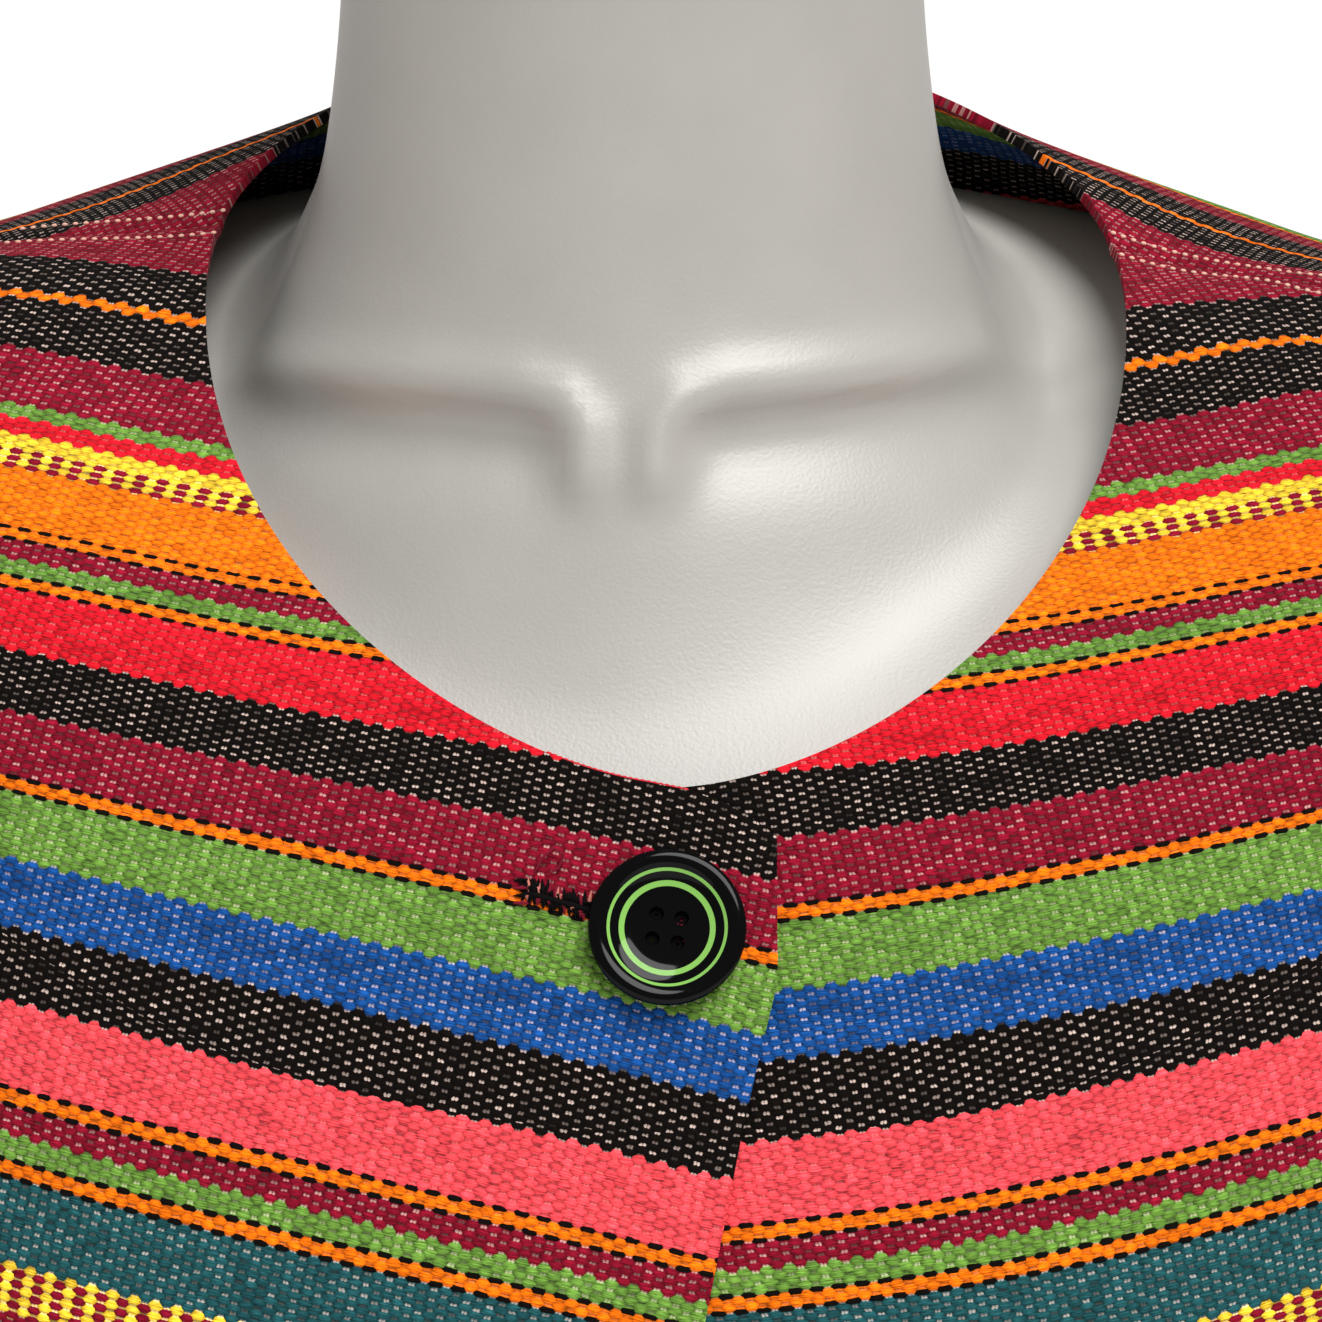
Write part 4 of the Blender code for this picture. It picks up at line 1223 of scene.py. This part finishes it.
def collarbone_height(point):
    """How far the collarbones lift the skin of the form at a point on its front."""
    if point.y > 0:
        return 0.0
    fade = smooth_step(BONE_END - abs(point.x), 0.0, BONE_FADE)
    fade *= smooth_step(-point.y, 0.0, BONE_DEPTH_FADE)
    lower = point + Vector((0.0, 0.0, HOLLOW_BELOW))
    lift = 0.0
    for bone in COLLARBONES:
        ridge = apart_from_line(point, bone) / BONE_WIDTH
        hollow = apart_from_line(lower, bone[:HOLLOW_POINTS]) / HOLLOW_WIDTH
        lift += fade * (BONE_HEIGHT * exp(-ridge * ridge) - HOLLOW_DEPTH * exp(-hollow * hollow))
    return lift


def form_net():
    """The skin of the form as rings from its base to the top of its neck."""
    last = len(FORM_SECTIONS) - 1
    net = []
    for cell in range(FORM_CELLS + 1):
        place = last * cell / FORM_CELLS
        ring = [section_point(FORM_SECTIONS, place, 2 * pi * (step % FORM_COLUMNS) / FORM_COLUMNS)
                for step in range(FORM_COLUMNS + 1)]
        net.append([point + Vector((0.0, -collarbone_height(point), 0.0)) for point in ring])
    return net


print("collarbone at its highest:", round(max(
    collarbone_height(Vector((x, -0.05, z))) for x, z in COLLARBONES[0]), 4), "m")

# %% [markdown]
# A moulded skin is never quite even. Soft clouds change its grey and its gloss a little, and a fine
# grain breaks up the highlights. One flat grey would look like an unfinished model.

# %% The plastic of the form and its mesh
# Moulded plastic with a satin skin: broad soft highlights, and a grain that only shows in them.
CLOUDS_PER_METRE, GRAINS_PER_METRE = 45.0, 1400.0
GRAIN_RELIEF = 0.00006
SMOOTHEST, ROUGHEST = 0.37, 0.47

moulding, tree, shader = new_material("grey_moulded_plastic", Metallic=0.10)
place = add_node(tree, "TexCoord").outputs["Object"]
cloudy = add_node(tree, "TexNoise", {"Vector": place, "Scale": CLOUDS_PER_METRE, "Detail": 3.0})
color = add_node(tree, "Mix", {"Factor": cloudy, "A": linear("#ABA9A3"), "B": linear("#B7B4AE")},
                 data_type="RGBA")
tree.links.new(color.outputs["Result"], shader.inputs["Base Color"])
gloss = add_node(tree, "MapRange", {"Value": cloudy, "To Min": SMOOTHEST, "To Max": ROUGHEST})
tree.links.new(gloss.outputs["Result"], shader.inputs["Roughness"])
grain = add_node(tree, "TexNoise", {"Vector": place, "Scale": GRAINS_PER_METRE, "Detail": 2.0})
bump = add_node(tree, "Bump", {"Height": grain, "Distance": GRAIN_RELIEF, "Strength": 1.0})
tree.links.new(bump.outputs["Normal"], shader.inputs["Normal"])

work = bmesh.new()
bend_grid(work, form_net())
rims = [edge for edge in work.edges if edge.is_boundary]
bmesh.ops.holes_fill(work, edges=rims, sides=0)
bmesh.ops.recalc_face_normals(work, faces=work.faces)
pieces["form_moulding"] = add_piece("form_moulding", work, moulding)
print("faces of the form:", len(pieces["form_moulding"].data.polygons))

# %% [markdown]
# The button is one large coat button, cast in black plastic and polished, so it mirrors the light in
# its rim. It is turned on a lathe, and spinning half its outline round an axis is the same work here.
# Two pale green rings are inlaid. They are drawn by the distance from the middle, on a UV map that
# looks straight at the face.

# %% The body of the button
BUTTON_PROFILE = (
    (0.00, 0.120), (0.30, 0.120), (0.44, 0.122), (0.50, 0.130), (0.56, 0.146), (0.66, 0.172),
    (0.74, 0.212), (0.80, 0.248), (0.85, 0.268), (0.90, 0.272), (0.95, 0.262), (0.985, 0.238),
    (1.00, 0.205), (0.995, 0.165), (0.97, 0.120), (0.92, 0.075), (0.84, 0.040), (0.70, 0.015),
    (0.50, 0.000), (0.00, 0.000),
)
BUTTON_STEPS = 96
BUTTON_RADIUS = BUTTON_DIAMETER / 2
OUTER_RING, INNER_RING = (0.742, 0.020), (0.575, 0.036)
HALVINGS = 30


def front_spot(x, height, lift):
    """A point over the front at a height, with its outward direction, found by halving."""
    low, high = float(UNDERARM_ROW), float(NECK_ROW)
    for _ in range(HALVINGS):
        place = (low + high) / 2
        if jacket_point(place, turn_at(place, x)).z < height:
            low = place
        else:
            high = place
    normal = jacket_normal(place, turn_at(place, x))
    return jacket_point(place, turn_at(place, x)) + normal * lift, normal


# Polished plastic: a small sharp highlight on the rim, deep black elsewhere.
plastic, tree, shader = new_material("black_glossy_plastic", Roughness=0.08,
                                     Specular_IOR_Level=0.16)
local = add_node(tree, "UVMap", uv_map="face")
radius = add_node(tree, "VectorMath", (local,), operation="LENGTH")
outer = add_node(tree, "Math", (radius, *OUTER_RING), operation="COMPARE")
inner = add_node(tree, "Math", (radius, *INNER_RING), operation="COMPARE")
ring = add_node(tree, "Math", (outer, inner), operation="MAXIMUM")
color = add_node(tree, "Mix", {"Factor": ring, "A": linear("#050506"), "B": linear("#86BE5C")},
                 data_type="RGBA")
tree.links.new(color.outputs["Result"], shader.inputs["Base Color"])

work = bmesh.new()
verts = [work.verts.new((share * BUTTON_RADIUS, 0.0, height * BUTTON_RADIUS))
         for share, height in BUTTON_PROFILE]
for before, after in zip(verts, verts[1:]):
    work.edges.new((before, after))
bmesh.ops.spin(work, geom=work.verts[:] + work.edges[:], axis=(0, 0, 1), cent=(0, 0, 0),
               steps=BUTTON_STEPS, angle=2 * pi, use_merge=True)
bmesh.ops.remove_doubles(work, verts=work.verts, dist=WELD)
bmesh.ops.recalc_face_normals(work, faces=work.faces)
layer = work.loops.layers.uv.new("face")
for face in work.faces:
    for loop in face.loops:
        loop[layer].uv = loop.vert.co.xy / BUTTON_RADIUS
seat, normal = front_spot(0.0, BUTTON_HEIGHT, WALL + LAYER_GAP / 2 + BUTTON_REST)
facing = Matrix.Translation(seat) @ normal.to_track_quat("Z", "Y").to_matrix().to_4x4()
bmesh.ops.transform(work, matrix=facing, verts=work.verts)
pieces["black_button"] = add_piece("black_button", work, plastic)
print("the button sits at", [round(value, 4) for value in seat])

# %% [markdown]
# The four holes go right through. They could be painted on, but then no edge would catch the light,
# so a cutter of four cylinders drills them. Black thread comes up in each one as a short plug.

# %% The holes of the button and the thread in them
HOLE_RADIUS, HOLE_SPACING, HOLE_TURN = 0.00130, 0.0045, radians(-10)
HOLE_SEGMENTS = 24
PLUG_RADIUS = 0.00125
PLUG_DEPTHS = (-0.10, -0.02, 0.03, 0.05)
BUTTON_SHARP_EDGE = radians(30)
THREAD_SIDES = 8
THREAD_TIP = 0.3


def add_thread(work, points, radius):
    """Add a thread along some points, thinner at both ends."""
    rings = []
    for number, point in enumerate(points):
        ahead = points[min(number + 1, len(points) - 1)] - points[max(number - 1, 0)]
        turn = ahead.to_track_quat("Z", "Y")
        size = radius * (THREAD_TIP if number in (0, len(points) - 1) else 1.0)
        angles = [2 * pi * (side % THREAD_SIDES) / THREAD_SIDES for side in range(THREAD_SIDES + 1)]
        rings.append([point + turn @ Vector((size * cos(angle), size * sin(angle), 0.0))
                      for angle in angles])
    bend_grid(work, rings)


cutter, sewn_on = bmesh.new(), bmesh.new()
for row_side in (-1, 1):
    for column_side in (-1, 1):
        spot = Vector((row_side, column_side, 0.0)) * HOLE_SPACING / 2
        spot.rotate(Matrix.Rotation(HOLE_TURN, 3, "Z"))
        bmesh.ops.create_cone(cutter, cap_ends=True, segments=HOLE_SEGMENTS, radius1=HOLE_RADIUS,
                              radius2=HOLE_RADIUS, depth=BUTTON_DIAMETER,
                              matrix=facing @ Matrix.Translation(spot))
        plug = [facing @ (spot + Vector((0.0, 0.0, depth * BUTTON_RADIUS)))
                for depth in PLUG_DEPTHS]
        add_thread(sewn_on, plug, PLUG_RADIUS)
drill = add_piece("hole_drill", cutter, plastic)
pieces["black_button"].modifiers.new("holes", "BOOLEAN").object = drill
depsgraph = bpy.context.evaluated_depsgraph_get()
drilled = bpy.data.meshes.new_from_object(pieces["black_button"].evaluated_get(depsgraph))
drilled.set_sharp_from_angle(angle=BUTTON_SHARP_EDGE)
pieces["black_button"].modifiers.clear()
pieces["black_button"].data = drilled
bpy.data.objects.remove(drill, do_unlink=True)
print("faces of the drilled button:", len(drilled.polygons))

# %% [markdown]
# A buttonhole is a slit whose two sides are wrapped with close stitches. This one is old and frayed:
# the stitches are mostly black, their lengths differ, and a few maroon and pink ends stick out. Every
# stitch is a short thread that starts at the slit and ends a little way up or down the cloth. The
# chances come from a seeded generator, so every run gives the same hole.

# %% The buttonhole
SLIT_START, SLIT_STOP = (-0.0255, 0.4936), (0.004, 0.4864)
SLIT_STITCHES = 80
SLIT_SHARES = (0.0, 0.1, 0.3, 0.5, 0.7, 0.9, 1.0)
SLIT_RADIUS = 0.0007
THREAD_RADIUS = 0.00040
REACH_ABOVE, REACH_BELOW = (0.0018, 0.0031), (0.0010, 0.0020)
LEAN = 0.0006
ROOT_OFFSET, ARCH, TIP_HEIGHT = 0.0002, 0.0005, 0.0001
BLACK_SHARE, MAROON_SHARE = 0.72, 0.92
BAR_THREADS, BAR_PITCH, BAR_HALF, BAR_ARCH = 4, 0.0012, 0.0016, 0.0006
LOOSE_LOOP = ((-0.0235, 0.4962, 0.0003), (-0.0222, 0.4985, 0.0012), (-0.0200, 0.5002, 0.0016),
              (-0.0182, 0.4992, 0.0014), (-0.0190, 0.4972, 0.0010), (-0.0213, 0.4962, 0.0006))
LOOP_RADIUS = 0.00032
FRONT_FACE = WALL + LAYER_GAP / 2


def over_front(spots):
    """Points over the front, from their distance past the centre, height and distance off the cloth."""
    return [front_spot(x, height, FRONT_FACE + off)[0] for x, height, off in spots]


def along_slit(share):
    """A point of the slit, from 0 at its outer end to 1 at the front edge."""
    return (SLIT_START[0] + share * (SLIT_STOP[0] - SLIT_START[0]),
            SLIT_START[1] + share * (SLIT_STOP[1] - SLIT_START[1]))


chance = random.Random(7)
black_work, maroon_work, pink_work = bmesh.new(), bmesh.new(), bmesh.new()
for number in range(SLIT_STITCHES):
    x, height = along_slit(number / (SLIT_STITCHES - 1))
    for side, lengths in ((1, REACH_ABOVE), (-1, REACH_BELOW)):
        reach = side * chance.uniform(*lengths)
        lean = chance.uniform(-LEAN, LEAN)
        spots = [(x, height + side * ROOT_OFFSET, 0.0),
                 (x + lean / 2, height + reach / 2, ARCH),
                 (x + lean, height + reach, TIP_HEIGHT)]
        shade = chance.random()
        target = (black_work if shade < BLACK_SHARE else
                  maroon_work if shade < MAROON_SHARE else pink_work)
        add_thread(target, over_front(spots), THREAD_RADIUS)
for number in range(BAR_THREADS):
    height = SLIT_START[1] + (number - (BAR_THREADS - 1) / 2) * BAR_PITCH
    spots = [(SLIT_START[0] - BAR_HALF, height, 0.0), (SLIT_START[0], height, BAR_ARCH),
             (SLIT_START[0] + BAR_HALF, height, 0.0)]
    add_thread(black_work if number % 2 else maroon_work, over_front(spots), THREAD_RADIUS)
add_thread(maroon_work, over_front(LOOSE_LOOP), LOOP_RADIUS)
add_thread(black_work, over_front([(*along_slit(share), 0.0) for share in SLIT_SHARES]),
           SLIT_RADIUS)
for name, work, thread in (("buttonhole_black", black_work, black_thread),
                           ("buttonhole_maroon", maroon_work, maroon_thread),
                           ("buttonhole_pink", pink_work, pink_thread),
                           ("button_thread", sewn_on, black_thread)):
    bmesh.ops.recalc_face_normals(work, faces=work.faces)
    pieces[name] = add_piece(name, work, thread)
    print(name, len(pieces[name].data.polygons), "faces")

# %% [markdown]
# The stage is a plain pale floor. A studio lamp with a large soft box would light the jacket from
# above and a little to one side. A sun lamp with a wide angle does the same and lights every part
# evenly, and a weak white world fills the shadows.

# %% Floor and light
FLOOR_SIZE, FLOOR_DROP = 40.0, 0.0005
FILL_LIGHT = 0.25
SUN_STRENGTH, SUN_ANGLE = 3.4, radians(40)
SUN_DIRECTION = Vector((-0.30, 0.42, -0.92))

work = bmesh.new()
bmesh.ops.create_grid(work, x_segments=1, y_segments=1, size=FLOOR_SIZE)
# Matt pale paint: it shows soft shadows and throws a little light up under the cloth.
pale_floor = new_material("pale_floor", Roughness=0.9, Base_Color=linear("#F4F3F1"))[0]
floor = add_piece("floor", work, pale_floor)
floor.location.z = -FLOOR_DROP

world = bpy.data.worlds.new("studio")
bpy.context.scene.world = world
world.use_nodes = True
background = world.node_tree.nodes["Background"]
background.inputs["Color"].default_value = linear("#FFFFFF")
background.inputs["Strength"].default_value = FILL_LIGHT
bpy.context.scene.view_settings.view_transform = "Standard"

lamp = bpy.data.lights.new("soft_sun", "SUN")
lamp.energy = SUN_STRENGTH
lamp.angle = SUN_ANGLE
sun = bpy.data.objects.new("soft_sun", lamp)
sun.rotation_euler = SUN_DIRECTION.to_track_quat("-Z", "Y").to_euler()
bpy.context.scene.collection.objects.link(sun)
print("light comes from", [round(-value, 2) for value in SUN_DIRECTION])

# %% [markdown]
# The camera looks slightly down at the neck from close by, as in the photo. A wide lens would bulge
# the chest towards it, so it has a long one.

# %% The camera at the photo's angle
CAMERA_TARGET = Vector((0.0055, -0.075, 0.530))
CAMERA_DISTANCE, CAMERA_RISE = 0.85, radians(12)
LENS = 127.3
NEAREST_SEEN = 0.05

eye = CAMERA_TARGET + CAMERA_DISTANCE * Vector((0.0, -cos(CAMERA_RISE), sin(CAMERA_RISE)))
lens = bpy.data.cameras.new("photo_camera")
lens.lens = LENS
lens.clip_start = NEAREST_SEEN
camera = bpy.data.objects.new("photo_camera", lens)
camera.location = eye
camera.rotation_euler = (CAMERA_TARGET - eye).to_track_quat("-Z", "Y").to_euler()
bpy.context.scene.collection.objects.link(camera)
bpy.context.scene.camera = camera
print("camera at", [round(value, 3) for value in eye])

# %% [markdown]
# Last, every piece is told what it belongs to. Nothing moves on this part, so all pieces ride on its
# one body. Each piece of cloth, the form and the button stand for their solids.

# %% Rides and replaced solids
SOLIDS = {"front_right_cloth": "front_right", "front_left_cloth": "front_left",
          "back_cloth": "back", "sleeve_right_cloth": "sleeve_right",
          "sleeve_left_cloth": "sleeve_left", "form_moulding": "form", "black_button": "button"}

for name, piece in pieces.items():
    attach(piece, "root")
    if name in SOLIDS:
        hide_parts(SOLIDS[name])
print("pieces:", len(pieces))
